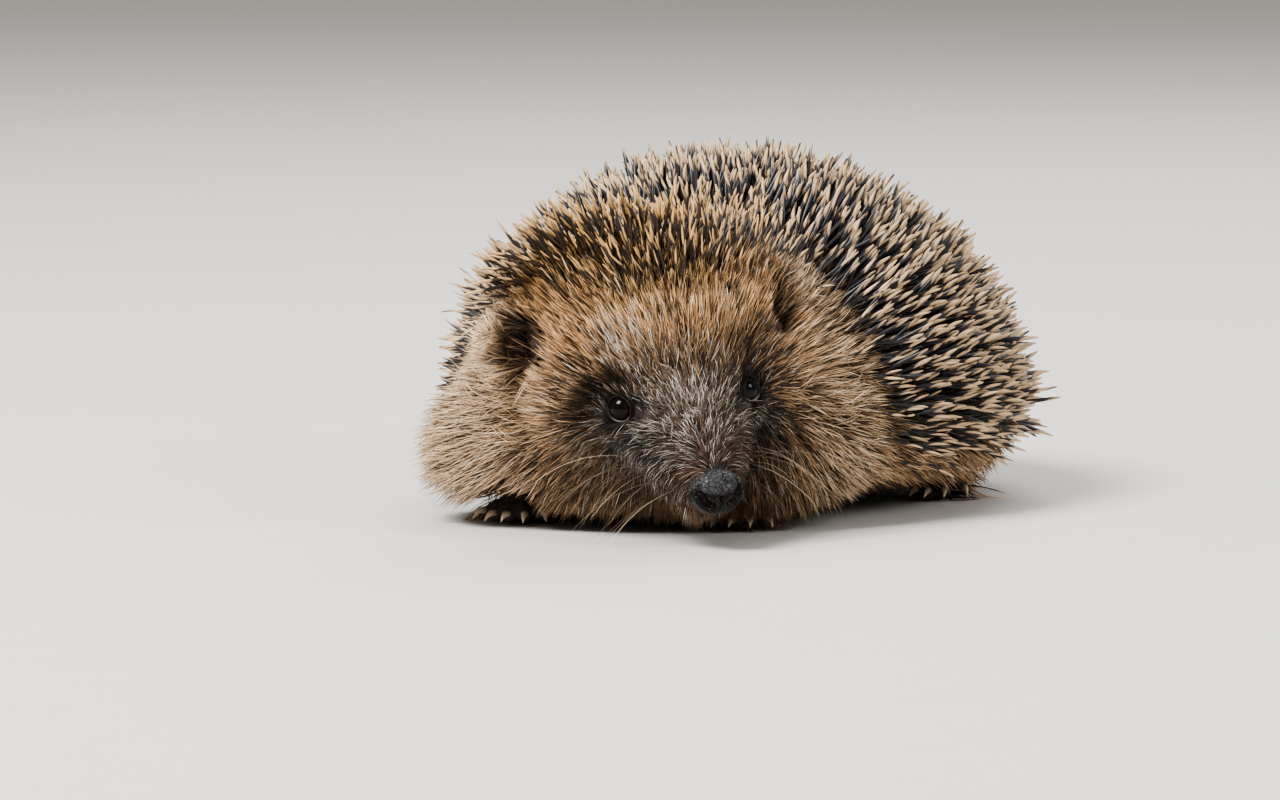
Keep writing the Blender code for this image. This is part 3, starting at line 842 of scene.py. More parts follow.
class Nodes:
    """Short ways to build a node tree."""

    def __init__(self, tree: NodeTree) -> None:
        """Keep the tree that nodes are added to."""
        self.tree = tree

    def add(self, kind: str, inputs: dict | None = None, **settings: object) -> Node:
        """Add a node.

        Args:
            kind: The node's type.
            inputs: What each input gets: a value, or the output of another node.
            settings: The node's own properties.

        Returns:
            The new node.
        """
        node = self.tree.nodes.new(kind)
        for name, value in settings.items():
            setattr(node, name, value)
        self.fill(node, inputs or {})
        return node

    def fill(self, node: Node, inputs: dict) -> None:
        """Give a node's inputs their values, or link them to the outputs of other nodes.

        Args:
            node: The node.
            inputs: What each input gets, by its name or its number.
        """
        for name, value in inputs.items():
            socket = node.inputs[name] if isinstance(name, int) else self.open_socket(node, name)
            if isinstance(value, NodeSocket):
                self.tree.links.new(value, socket)
            else:
                socket.default_value = value

    @staticmethod
    def open_socket(node: Node, name: str) -> NodeSocket:
        """Find the input of that name which the node's settings leave in use."""
        return next(s for s in node.inputs if s.name == name and s.enabled)

    def result(self, kind: str, inputs: dict | None = None, **settings: object) -> NodeSocket:
        """Add a node and give its first output in use."""
        node = self.add(kind, inputs, **settings)
        return next(s for s in node.outputs if s.enabled)

    def math(self, operation: str, *values: object) -> NodeSocket:
        """Reckon with plain numbers."""
        return self.result("ShaderNodeMath", dict(enumerate(values)), operation=operation)

    def scaled(self, value: object, factor: object, offset: object) -> NodeSocket:
        """Multiply a number and add another."""
        return self.math("MULTIPLY_ADD", value, factor, offset)

    def mix(self, share: object, first: object, second: object, blend: str = "MIX") -> NodeSocket:
        """Mix two colours.

        Args:
            share: How much the second colour counts.
            first: One colour.
            second: The other.
            blend: The way in which they mix.

        Returns:
            The mixture.
        """
        inputs = {0: share, 6: first, 7: second}
        node = self.add("ShaderNodeMix", inputs, data_type="RGBA", blend_type=blend)
        return node.outputs[2]

    def tone(self, colour: object, value: object, saturation: object = 1.0) -> NodeSocket:
        """Make a colour lighter or darker, and richer or paler."""
        inputs = {"Color": colour, "Value": value, "Saturation": saturation}
        return self.result("ShaderNodeHueSaturation", inputs)

    def noise(self, place: NodeSocket, scale: object, detail: float) -> NodeSocket:
        """Give soft random spots."""
        inputs = {"Vector": place, "Scale": scale, "Detail": detail}
        return self.result("ShaderNodeTexNoise", inputs)

    def cells(self, place: NodeSocket, scale: object) -> NodeSocket:
        """Divide space into cells, and say how far each place is from the nearest wall."""
        inputs = {"Vector": place, "Scale": scale}
        return self.result("ShaderNodeTexVoronoi", inputs, feature="DISTANCE_TO_EDGE")

    def bump(self, height: NodeSocket, strength: float, depth: float) -> NodeSocket:
        """Turn heights into small relief."""
        inputs = {"Height": height, "Strength": strength, "Distance": depth}
        return self.result("ShaderNodeBump", inputs)

    def place(self) -> NodeSocket:
        """Read places in the object's own space."""
        return self.add("ShaderNodeTexCoord").outputs["Object"]

    def number(self, name: str) -> NodeSocket:
        """Read one of the mesh's attributes that is a number."""
        return self.add("ShaderNodeAttribute", attribute_name=name).outputs["Fac"]

    def colour(self, name: str) -> NodeSocket:
        """Read one of the mesh's attributes that is a colour."""
        return self.add("ShaderNodeAttribute", attribute_name=name).outputs["Color"]

    def step(self, value: NodeSocket, low: float, high: float) -> NodeSocket:
        """Rise smoothly from 0 at `low` to 1 at `high`."""
        inputs = {"Value": value, "From Min": low, "From Max": high}
        return self.result("ShaderNodeMapRange", inputs, interpolation_type="SMOOTHSTEP")


def material_nodes(name: str) -> tuple[Material, Nodes, Node]:
    """Start a material.

    Args:
        name: The material's name.

    Returns:
        The material, its nodes, and its Principled BSDF.
    """
    material = bpy.data.materials.new(name)
    material.use_nodes = True
    nodes = Nodes(material.node_tree)
    return material, nodes, nodes.tree.nodes["Principled BSDF"]


def rgba(colour: Triple) -> tuple[float, float, float, float]:
    """Add full opacity to a colour."""
    return (*colour, 1.0)


def add_sockets(tree: NodeTree, in_out: str, kinds: dict[str, str]) -> None:
    """Give a node group its inputs or its outputs, from the kind of each by its name."""
    for name, kind in kinds.items():
        tree.interface.new_socket(name=name, in_out=in_out, socket_type=f"NodeSocket{kind}")


def group_nodes(
    name: str, inputs: dict[str, str], outputs: dict[str, str]
) -> tuple[Nodes, dict[str, NodeSocket], Node]:
    """Start a shader group, an effect that materials share.

    Args:
        name: The group's name.
        inputs: The kind of each input by its name.
        outputs: The kind of each output by its name.

    Returns:
        The group's nodes, its inputs as sockets to link from, and its output node.
    """
    tree = bpy.data.node_groups.new(name, "ShaderNodeTree")
    add_sockets(tree, "INPUT", inputs)
    add_sockets(tree, "OUTPUT", outputs)
    nodes = Nodes(tree)
    entry = nodes.add("NodeGroupInput")
    return nodes, {s.name: s for s in entry.outputs if s.name}, nodes.add("NodeGroupOutput")


@dataclass(frozen=True)
class Mottle:
    """Uneven colour and fine relief, which skin and horn share."""

    fineness: float = 3.5
    crease: float = 0.25
    relief: float = 0.6
    roughness: float = 0.55
    roughness_spread: float = 0.35

    def group(self) -> NodeTree:
        """Build the shader group, or find it if it is there.

        Returns:
            The group's tree.
        """
        found = bpy.data.node_groups.get("mottle")
        if found:
            return found
        nodes, given, out = group_nodes(
            "mottle",
            {"Color": "Color", "Scale": "Float", "Strength": "Float"},
            {"Color": "Color", "Height": "Float", "Roughness": "Float"},
        )
        place = nodes.place()
        coarse = nodes.noise(place, given["Scale"], 5.0)
        cells = nodes.cells(place, nodes.math("MULTIPLY", given["Scale"], self.fineness))
        crease = nodes.step(cells, 0.0, self.crease)
        uneven = nodes.math("SUBTRACT", coarse, 0.5)
        lightness = nodes.scaled(uneven, given["Strength"], 1.0)
        results = {
            "Color": nodes.tone(given["Color"], lightness),
            "Height": nodes.scaled(coarse, self.relief, crease),
            "Roughness": nodes.scaled(uneven, self.roughness_spread, self.roughness),
        }
        nodes.fill(out, results)
        return nodes.tree


@dataclass(frozen=True)
class HairTone:
    """Colour of a hair: dark at the root, its own tint at the tip, and no two alike.

    A hair's value and saturation follow its shade, a number from 0 to 1, and from `tip_start` on it
    grows lighter towards the tip.
    """

    least_value: float = 0.32
    value_spread: float = 1.15
    tip_start: float = 0.45
    tip_light: float = 0.4
    saturation: float = 1.25
    saturation_loss: float = 0.3
    roughness: float = 0.4
    roughness_spread: float = 0.2

    def group(self) -> NodeTree:
        """Build the shader group.

        Returns:
            The group's tree.
        """
        nodes, given, out = group_nodes(
            "strand",
            {"Tint": "Color", "Along": "Float", "Shade": "Float", "Root": "Color"},
            {"Color": "Color", "Roughness": "Float"},
        )
        # Towards the root the tint is darkened by the Root colour: the hair's darker base, and painted
        # shade deep in the coat.
        root = nodes.mix(1.0, given["Tint"], given["Root"], "MULTIPLY")
        colour = nodes.mix(nodes.step(given["Along"], 0.0, 1.0), root, given["Tint"])
        value = nodes.scaled(given["Shade"], self.value_spread, self.least_value)
        value = nodes.scaled(nodes.step(given["Along"], self.tip_start, 1.0), self.tip_light, value)
        warmth = nodes.scaled(given["Shade"], -self.saturation_loss, self.saturation)
        rough = nodes.scaled(given["Shade"], self.roughness_spread, self.roughness)
        nodes.fill(out, {"Color": nodes.tone(colour, value, warmth), "Roughness": rough})
        return nodes.tree


@dataclass(frozen=True)
class SkinFinish:
    """Bare skin, which shows on ears, feet, lids and between hairs."""

    grain: float = 900
    strength: float = 0.9
    relief: float = 0.25
    depth: float = 0.3 * MM
    gloss: float = 0.3

    def material(self) -> Material:
        """Build the material.

        Returns:
            The material.
        """
        material, nodes, surface = material_nodes("skin")
        inputs = {"Color": nodes.colour("tint"), "Scale": self.grain, "Strength": self.strength}
        mottle = nodes.add("ShaderNodeGroup", inputs, node_tree=Mottle().group()).outputs
        looks = {
            "Base Color": mottle["Color"],
            "Roughness": mottle["Roughness"],
            "Normal": nodes.bump(mottle["Height"], self.relief, self.depth),
            "Specular IOR Level": self.gloss,
        }
        nodes.fill(surface, looks)
        return material


@dataclass(frozen=True)
class FurFinish:
    """Soft hair, darker towards the skin: the hairs' darker bases, and painted shade deep in the coat."""

    # The colour that darkens hairs towards the skin: their darker bases, and painted shade deep in the
    # coat.
    root: Triple = (0.08, 0.062, 0.052)
    gloss: float = 0.35

    def material(self) -> Material:
        """Build the material.

        Returns:
            The material.
        """
        material, nodes, surface = material_nodes("fur")
        inputs = {"Tint": nodes.colour("tint"), "Root": rgba(self.root)}
        inputs |= {"Along": nodes.number("along"), "Shade": nodes.number("shade")}
        hair = nodes.add("ShaderNodeGroup", inputs, node_tree=HairTone().group()).outputs
        looks = {"Base Color": hair["Color"], "Roughness": hair["Roughness"]}
        nodes.fill(surface, looks | {"Specular IOR Level": self.gloss})
        return material


@dataclass(frozen=True)
class QuillFinish:
    """Horny quills: pale at the root, a dark band, and a pale tip that may end dark.

    The band starts at `band_start` of a quill's length, a little sooner or later on each, and `edge`
    is how soft its ends are. Quills whose shade is above `dark_tipped` end dark.
    """

    band: Triple = (0.014, 0.013, 0.016)
    warm_band: Triple = (0.050, 0.027, 0.013)
    band_start: float = 0.25
    band_drift: float = 0.14
    edge: float = 0.035
    root_shade: Triple = (0.35, 0.25, 0.17)
    dark_tipped: Pair = (0.80, 0.86)
    very_tip: Pair = (0.86, 0.97)
    value_spread: float = 0.62
    least_value: float = 0.53
    roughness: float = 0.48
    band_polish: float = 0.1

    def material(self) -> Material:
        """Build the material.

        Returns:
            The material.
        """
        material, nodes, surface = material_nodes("quills")
        along = nodes.number("along")
        shade = nodes.number("shade")
        tint = nodes.colour("tint")
        drift = nodes.scaled(shade, self.band_drift, -self.band_drift / 2)
        place = nodes.math("ADD", along, drift)
        enter = nodes.step(place, self.band_start, self.band_start + self.edge)
        past = nodes.math("SUBTRACT", place, nodes.number("band"))
        leave = nodes.step(past, -self.edge, self.edge)
        banded = nodes.math("SUBTRACT", enter, leave)
        root = nodes.mix(1.0, tint, rgba(self.root_shade), "MULTIPLY")
        pale = nodes.mix(leave, root, tint)
        dark = nodes.mix(nodes.number("warm"), rgba(self.band), rgba(self.warm_band))
        colour = nodes.mix(banded, pale, dark)
        dark_tipped = nodes.step(shade, *self.dark_tipped)
        very_tip = nodes.step(along, *self.very_tip)
        colour = nodes.mix(nodes.math("MULTIPLY", dark_tipped, very_tip), colour, dark)
        tone = nodes.tone(colour, nodes.scaled(shade, self.value_spread, self.least_value))
        rough = nodes.scaled(banded, -self.band_polish, self.roughness)
        nodes.fill(surface, {"Base Color": tone, "Roughness": rough})
        return material


@dataclass(frozen=True)
class NoseFinish:
    """Moist nose leather: cracked grey plates on top, dark and wet below."""

    top: Triple = (0.050, 0.049, 0.051)
    low: Triple = (0.004, 0.0034, 0.0032)
    inside: Triple = (0.012, 0.006, 0.004)
    plates: float = 980
    crack: Pair = (0.012, 0.12)
    wrinkles: float = 1100
    wrinkle_height: float = 1.6
    relief: float = 0.5
    depth: float = 0.3 * MM
    roughness: float = 0.39
    wet_polish: float = 0.18
    gloss: float = 0.2

    def material(self) -> Material:
        """Build the material.

        Returns:
            The material.
        """
        material, nodes, surface = material_nodes("nose_leather")
        wet = nodes.number("wet")
        place = nodes.place()
        plate = nodes.step(nodes.cells(place, self.plates), *self.crack)
        cracked = nodes.mix(plate, rgba(self.low), rgba(self.top))
        skin = nodes.mix(wet, cracked, rgba(self.low))
        wrinkles = nodes.math("MULTIPLY", nodes.noise(place, self.wrinkles, 3.0), wet)
        height = nodes.scaled(wrinkles, self.wrinkle_height, plate)
        looks = {
            "Base Color": nodes.mix(nodes.number("pit"), skin, rgba(self.inside)),
            "Roughness": nodes.scaled(wet, -self.wet_polish, self.roughness),
            "Normal": nodes.bump(height, self.relief, self.depth),
            "Specular IOR Level": self.gloss,
        }
        nodes.fill(surface, looks)
        return material


@dataclass(frozen=True)
class EyeFinish:
    """A dark wet eye with a faint brown iris."""

    colour: Triple = (0.004, 0.003, 0.0025)
    iris: Triple = (0.014, 0.007, 0.004)
    fibres: float = 1500.0
    roughness: float = 0.03
    gloss: float = 0.18

    def material(self) -> Material:
        """Build the material.

        Returns:
            The material.
        """
        material, nodes, surface = material_nodes("eye")
        share = nodes.math("MULTIPLY", nodes.number("iris"), nodes.noise(nodes.place(), self.fibres, 2.0))
        colour = nodes.mix(share, rgba(self.colour), rgba(self.iris))
        looks = {"Base Color": colour, "Roughness": self.roughness, "Specular IOR Level": self.gloss}
        nodes.fill(surface, looks)
        return material


@dataclass(frozen=True)
class ClawFinish:
    """Horn claws, brown at the root and pale at the point."""

    root: Triple = (0.10, 0.055, 0.03)
    tip: Triple = (0.62, 0.50, 0.36)
    pale: Pair = (0.05, 0.7)
    grain: float = 1400
    strength: float = 0.5
    roughness: float = 0.3

    def material(self) -> Material:
        """Build the material.

        Returns:
            The material.
        """
        material, nodes, surface = material_nodes("claw")
        share = nodes.step(nodes.number("along"), *self.pale)
        colour = nodes.mix(share, rgba(self.root), rgba(self.tip))
        inputs = {"Color": colour, "Scale": self.grain, "Strength": self.strength}
        mottle = nodes.add("ShaderNodeGroup", inputs, node_tree=Mottle().group())
        nodes.fill(surface, {"Base Color": mottle.outputs["Color"], "Roughness": self.roughness})
        return material


@dataclass(frozen=True)
class FloorFinish:
    """Plain pale floor."""

    colour: Triple = (0.62, 0.60, 0.57)
    grain: float = 60.0
    unevenness: float = 0.04
    roughness: float = 0.8

    def material(self) -> Material:
        """Build the material.

        Returns:
            The material.
        """
        material, nodes, surface = material_nodes("floor")
        noise = nodes.noise(nodes.place(), self.grain, 2.0)
        value = nodes.scaled(noise, self.unevenness, 1 - self.unevenness / 2)
        colour = nodes.tone(rgba(self.colour), value)
        nodes.fill(surface, {"Base Color": colour, "Roughness": self.roughness})
        return material


def register(obj: Object, material: Material, slot: str, *nodes: str) -> None:
    """Dress a finished piece, hang it under the body, and hide the nodes that it stands for.

    Args:
        obj: The piece.
        material: Its material.
        slot: Not used.
        nodes: The nodes that it stands for.
    """
    obj.data.materials.clear()
    obj.data.materials.append(material)
    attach(obj, BODY)
    if nodes:
        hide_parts(*nodes)
    obj.data.calc_loop_triangles()
    log.info("%s: %d triangles", obj.name, len(obj.data.loop_triangles))


# -------- skin, feet and ears


@dataclass
class Foot:
    """One foot: a palm, five toes with knuckles and pads, and their claws."""

    limb: Limb
    side: Side
    toes: int = 5
    toe_root: float = 2.3 * MM
    toe_end: float = 1.45 * MM
    toe_start: float = 0.25
    knuckle_at: float = 0.68
    knuckle_share: float = 0.86
    knuckle_rise: float = 0.7 * MM
    palm_radius: float = 3.6 * MM
    palm_forward: float = 0.45
    palm_swell: float = 1.15
    palm_height: float = 0.9
    ankle_radii: Pair = (3.6 * MM, 4.4 * MM)
    ankle_rise: float = 3 * MM
    hock_back: float = 6 * MM
    voxel: float = 0.42 * MM
    claw_root_reach: float = 0.7 * MM
    claw_radius: float = 0.9 * MM
    claw_profile: tuple[float, ...] = (0.95, 1.0, 0.94, 0.84, 0.7, 0.52, 0.3, 0.0)
    claw_sunk: float = 0.15
    claw_bow: float = 0.9 * MM
    claw_top: float = 0.45
    claw_sides: int = 12

    @property
    def name(self) -> str:
        """The foot's node."""
        return f"{self.limb.value}foot_{self.side.word}"

    def claw_node(self, number: int) -> str:
        """Name a claw's node."""
        return f"{self.limb.value}claw_{self.side.word}_{number}"

    def claw_ends(self, number: int) -> tuple[Array, Array]:
        """Find a claw's root, nearest the foot, and its point.

        Args:
            number: The claw's number.

        Returns:
            The root and the point.
        """
        points = points_of(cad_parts[self.claw_node(number)].data)
        distance = apart(points, centre_of(self.name))
        near = points[distance < distance.min() + self.claw_root_reach].mean(0)
        return near, points[distance.argmax()]

    def toe(self, palm: Array, root: Array) -> Mesh:
        """Model one toe from the palm over its knuckle to the claw's root.

        Args:
            palm: The middle of the palm.
            root: The root of the claw.

        Returns:
            The toe.
        """
        start = palm + (root - palm) * self.toe_start
        start[2] = self.toe_root
        knuckle = palm + (root - palm) * self.knuckle_at
        knuckle[2] = self.toe_root + self.knuckle_rise
        end = root.copy()
        end[2] = max(root[2], self.toe_end)
        radii = np.array([self.toe_root, self.toe_root * self.knuckle_share, self.toe_end])
        return ball_chain("toe", np.array([start, knuckle, end]), radii)

    def mesh(self) -> Mesh:
        """Model the foot down to the floor, with a flat sole.

        Returns:
            The foot without its claws.
        """
        hind = self.limb is Limb.HIND
        middle = centre_of(self.name)
        _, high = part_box(self.name)
        roots = [self.claw_ends(number)[0] for number in range(1, self.toes + 1)]
        palm = middle * (1 - self.palm_forward) + np.mean(roots, axis=0) * self.palm_forward
        heel = middle * 2 - palm if hind else middle.copy()
        palm[2] = self.palm_radius * self.palm_height
        heel[2] = self.palm_radius * self.palm_height
        palm_radii = np.array([self.palm_radius, self.palm_radius * self.palm_swell])
        pieces = [ball_chain("palm", np.array([heel, palm]), palm_radii)]
        pieces += [self.toe(palm, root) for root in roots]
        ankle_back = high[1] - self.hock_back if hind else middle[1]
        ankle = np.array([middle[0], ankle_back, high[2] + self.ankle_rise])
        pieces.append(ball_chain("ankle", np.array([heel, ankle]), np.array(self.ankle_radii)))
        mesh = remeshed(joined(pieces, self.name), self.voxel, 3)
        points = points_of(mesh)
        points[:, 2] = np.maximum(points[:, 2], 0)
        put_points(mesh, points)
        return mesh

    def build_claws(self, material: Material) -> None:
        """Make each claw as a curved horn cone in place of its node.

        Args:
            material: Their material.
        """
        radii = np.array(self.claw_profile) * self.claw_radius
        up = np.array([[0.0, 0.0, 1.0]])
        for number in range(1, self.toes + 1):
            root, point = self.claw_ends(number)
            t = np.linspace(-self.claw_sunk, 1, len(radii))[:, None]
            path = root + (point - root) * t
            path[:, 2] += self.claw_bow * (1 - (2 * (t[:, 0] - self.claw_top)) ** 2)
            strands = Strands(path[None], radii[None], up, self.claw_sides, MAP_MIDDLE[None])
            node = self.claw_node(number)
            register(linked(f"claw_{node}", strands.mesh(node)), material, "claw", node)


@dataclass(frozen=True)
class Lids:
    """The lids of one eye: skin wrapped round the eyeball, with an oval opening.

    Heights and spreads are measured from the eyeball's middle, along the way it looks and across it.
    The opening's edge lies where the oval's own measure is 1.
    """

    head: HeadFrame
    side: Side
    width: float = 2.55 * MM
    height: float = 2.15 * MM
    thickness: float = 0.45 * MM
    slant: Triple = (-0.35, -1, -0.1)
    back: float = -2.5 * MM
    widest: float = 9 * MM
    rim_start: float = 0.9
    rim_height: float = 2.6 * MM
    rim_slope: float = 0.35
    lowest: float = 1.1 * MM
    sunk: float = 0.9 * MM
    opening: Pair = (0.80, 1.12)
    blend: Pair = (3.4 * MM, 6.5 * MM)
    edge: float = 1.15
    edge_width: float = 0.35

    def sculpt(self, points: Array) -> tuple[Array, Array]:
        """Wrap the skin round the eyeball and open the lids.

        Args:
            points: The skin's points.

        Returns:
            The new points, and how much each belongs to the lids' edge.
        """
        centre = centre_of(f"eye_{self.side.word}")
        radius = eye_radius(self.side)
        look = self.head.look(self.side)
        forward = self.head.way(self.slant, self.side)
        along = unit(forward - look * (forward @ look))
        axes = np.stack([along, np.cross(look, along) * self.side.value, look])
        local = (points - centre) @ axes.T
        spread = np.linalg.norm(local[:, :2], axis=1)
        ahead = (local[:, 2] > self.back) & (spread < self.widest)
        lid = np.sqrt(np.maximum((radius + self.thickness) ** 2 - spread**2, 0))
        rim = self.rim_height - (spread - radius) * self.rim_slope
        over = spread < radius * self.rim_start
        closed = np.where(over, lid, np.minimum(np.maximum(lid, self.lowest), rim))
        oval = (local[:, 0] / self.width) ** 2 + (local[:, 1] / self.height) ** 2
        inside = 1 - ease(oval, *self.opening)
        sunk = np.sqrt(np.maximum((radius - self.sunk) ** 2 - spread**2, 0))
        height = closed * (1 - inside) + sunk * inside
        share = (1 - ease(spread, *self.blend)) * ahead
        local[:, 2] = local[:, 2] * (1 - share) + height * share
        edge = np.exp(-(((oval - self.edge) / self.edge_width) ** 2)) * share
        return np.where(ahead[:, None], local @ axes + centre, points), edge


@dataclass(frozen=True)
class Mouth:
    """The line of the closed mouth, which runs back from under the nose on both sides."""

    head: HeadFrame
    drop: float = 4.6 * MM
    slope: float = 0.10
    level_at: float = 6 * MM
    width: float = 0.55 * MM
    depth: float = 0.9 * MM
    front: Pair = (2 * MM, 5 * MM)
    back: Pair = (18 * MM, 24 * MM)

    def sculpt(self, points: Array, normals: Array) -> tuple[Array, Array]:
        """Press the line into the skin.

        Args:
            points: The skin's points.
            normals: The outward direction at each.

        Returns:
            The new points, and how much each belongs to the line.
        """
        _, back, up = self.head.into(points).T
        level = -self.drop - self.slope * (back - self.level_at)
        near = np.exp(-(((up - level) / self.width) ** 2))
        share = near * ease(back, *self.front) * (1 - ease(back, *self.back))
        return points - normals * share[:, None] * self.depth, share


@dataclass
class Skin:
    """The one skin over head, neck, trunk, limbs, ears and tail.

    The solids of the body are swollen until they melt together, which fills the creases between them,
    and shrunk again. That gives the outline with the coat on, the ceiling. Then the surface sinks by
    the coat's depth, legs, ears and feet join it, and lids and mouth are modelled.
    """

    head: HeadFrame
    coat: CoatMap
    growth: float = 0.5 * MM
    crease: float = 6 * MM
    crease_reach: Pair = (28 * MM, 42 * MM)
    filler_voxel: float = 2.3 * MM
    filler_rounds: int = 160
    filler_push: float = 1.6
    filler_sunk: float = 0.4 * MM
    filler_reach: Pair = (24 * MM, 36 * MM)
    filler_rise: Pair = (4 * MM, 12 * MM)
    first_voxel: float = 1.3 * MM
    voxel: float = 1.15 * MM
    sink_rounds: int = 8
    sink_soft: Pair = (2 * MM, 8 * MM)
    least_softening: float = 0.25
    ear_size: float = 0.72
    ear_edge: Triple = (-0.957, -0.275, 0.093)
    ear_edge_away: float = 5 * MM
    ear_inward: Triple = (-1, 0.1, -0.1)
    ear_root_reach: Pair = (5 * MM, 17 * MM)
    ear_root_radii: Pair = (4 * MM, 6 * MM)
    leg_root_height: float = 30 * MM
    leg_root_inset: float = 0.75
    leg_root_radii: Pair = (7 * MM, 9 * MM)
    fine_muzzle: float = 18 * MM
    fine_eye: float = 8 * MM
    finest_eye: float = 5 * MM
    # A pale grey line along the lower lids' edge: painted highlight on the wet rim.
    lid_rim: Triple = (0.13, 0.115, 0.105)
    lid_below: Triple = (0.0, 0.6, 0.8)
    lid_rim_reach: Pair = (0.8 * MM, 2 * MM)
    dark_line: Triple = (0.012, 0.008, 0.007)
    lid_line: float = 0.9
    eye_shadow: Pair = (1 * MM, 7 * MM)
    # Heights over which skin darkens towards the floor, and how much.
    dark_feet: Pair = (6 * MM, 12 * MM)
    feet_shade: float = 0.8
    body: tuple[str, ...] = ("trunk", "neck", "head", "lower_jaw", "nose", "eye_left", "eye_right")
    legs: tuple[str, ...] = ("foreleg_left", "foreleg_right", "hindleg_left", "hindleg_right")
    ceiling: Ceiling | None = field(default=None, init=False)

    @property
    def limbs(self) -> tuple[str, ...]:
        """The nodes that keep their thickness under the coat."""
        return (*self.legs, "tail")

    @property
    def flesh(self) -> list[str]:
        """The nodes that the skin stands for."""
        core = [name for name in self.body if name.split("_")[0] not in ("nose", "eye")]
        pairs = [f"{part}_{side.word}" for part in ("ear", "forefoot", "hindfoot") for side in Side]
        return [*core, *self.limbs, *pairs]

    def swelling(self, points: Array) -> Array:
        """Say how far the flesh is first swollen, which fills the creases between head and body."""
        return self.crease * ease(self.head.into(points)[:, 1], *self.crease_reach)

    def swollen(self, node: str) -> Mesh:
        """Copy a node, and swell it if it isn't a limb.

        Args:
            node: The node's name.

        Returns:
            The copy.
        """
        mesh = node_mesh(node, self.growth)
        if node in self.limbs:
            return mesh
        points = points_of(mesh)
        normals = Surface.of(mesh).normals
        put_points(mesh, points + normals * self.swelling(points)[:, None])
        return mesh

    def filler(self, mesh: Mesh) -> Mesh:
        """Make a coarse copy whose hollows behind the face are filled, which evens neck and cheeks.

        Args:
            mesh: The melted solids.

        Returns:
            The copy.
        """
        coarse = remeshed(mesh, self.filler_voxel, 2)
        surface = Surface.of(coarse)
        points = surface.points
        behind = ease(self.head.into(points)[:, 1], *self.filler_reach)
        behind = behind * ease(points[:, 2], *self.filler_rise)
        for _ in range(self.filler_rounds):
            normals = vertex_normals(points, surface.triangles)
            outward = ((averaged(points, surface.edges, 2) - points) * normals).sum(1)
            points = points + normals * (np.maximum(outward, 0) * behind)[:, None] * self.filler_push
        points = points - vertex_normals(points, surface.triangles) * self.filler_sunk
        put_points(coarse, points)
        return coarse

    def sink(self, mesh: Mesh, depth: Array) -> None:
        """Move the surface inward, a little at a time, and keep it smooth.

        Args:
            mesh: The mesh to move.
            depth: How far each point moves.
        """
        surface = Surface.of(mesh)
        points = surface.points
        depth = depth[:, None]
        least = self.least_softening
        softening = least + (1 - least) * ease(depth, *self.sink_soft)
        for _ in range(self.sink_rounds):
            normals = averaged(vertex_normals(points, surface.triangles), surface.edges, 2)
            points = points - unit(normals) * depth / self.sink_rounds
            points = points + (averaged(points, surface.edges, 2) - points) * softening
        put_points(mesh, points)

    def ear_root(self, side: Side) -> Mesh:
        """Carry the ear down to the sunken head.

        Args:
            side: The ear's side.

        Returns:
            The root.
        """
        ear = centre_of(f"ear_{side.word}")
        inward = self.head.way(self.ear_inward, side)
        places = np.array([ear + inward * reach for reach in self.ear_root_reach])
        return ball_chain("ear_root", places, np.array(self.ear_root_radii))

    def leg_root(self, node: str) -> Mesh:
        """Carry a leg up into the sunken body.

        Args:
            node: The leg's node.

        Returns:
            The root.
        """
        leg = centre_of(node)
        inside = np.array([leg[0] * self.leg_root_inset, leg[1], self.leg_root_height])
        return ball_chain("leg_root", np.array([leg, inside]), np.array(self.leg_root_radii))

    def ear(self, side: Side) -> Mesh:
        """Round off the ear's cup, and draw it in towards its front edge, since hair hides the rest.

        Args:
            side: The ear's side.

        Returns:
            The ear.
        """
        mesh = node_mesh(f"ear_{side.word}")
        points = points_of(mesh)
        edge = centre_of(f"ear_{side.word}") + self.head.way(self.ear_edge, side) * self.ear_edge_away
        put_points(mesh, edge + (points - edge) * self.ear_size)
        obj = linked("ear", mesh)
        rounder = obj.modifiers.new("rounder", "SUBSURF")
        rounder.levels = 3
        rounder.render_levels = 3
        return settled(obj)

    def refine(self, mesh: Mesh) -> Mesh:
        """Split the faces of the muzzle once and those round the eyes once more.

        Args:
            mesh: The skin's mesh.

        Returns:
            The finer mesh.
        """
        bm = bmesh.new()
        bm.from_mesh(mesh)
        eyes = [Vector(centre_of(f"eye_{side.word}")) for side in Side]
        nose = Vector(self.head.origin)

        def to_eye(place: Vector) -> float:
            """Measure how far a place is from the nearer eye."""
            return min((place - eye).length for eye in eyes)

        def split(near: Callable[[Vector], bool]) -> None:
            """Split the edges whose ends are both near."""
            edges = [edge for edge in bm.edges if near(edge.verts[0].co) and near(edge.verts[1].co)]
            bmesh.ops.subdivide_edges(bm, edges=edges, cuts=1, use_grid_fill=True, smooth=0.0)

        split(lambda place: (place - nose).length < self.fine_muzzle or to_eye(place) < self.fine_eye)
        split(lambda place: to_eye(place) < self.finest_eye)
        bmesh.ops.triangulate(bm, faces=[face for face in bm.faces if len(face.verts) > 4])
        return from_bmesh(bm, "skin")

    def core(self) -> Mesh:
        """Melt the solids together, keep their outline as the ceiling, and sink by the coat's depth.

        Returns:
            The skin of the body, without ears and feet.
        """
        core = joined([self.swollen(name) for name in self.body + self.limbs], "core")
        core = remeshed(core, self.first_voxel, 4)
        self.sink(core, self.swelling(points_of(core)) + self.growth)
        core = remeshed(joined([core, self.filler(core.copy())], "core"), self.first_voxel, 4)
        self.ceiling = Ceiling(Surface.of(core))
        self.sink(core, self.coat.blend(self.coat.shares(points_of(core)), "depth") * MM)
        return core

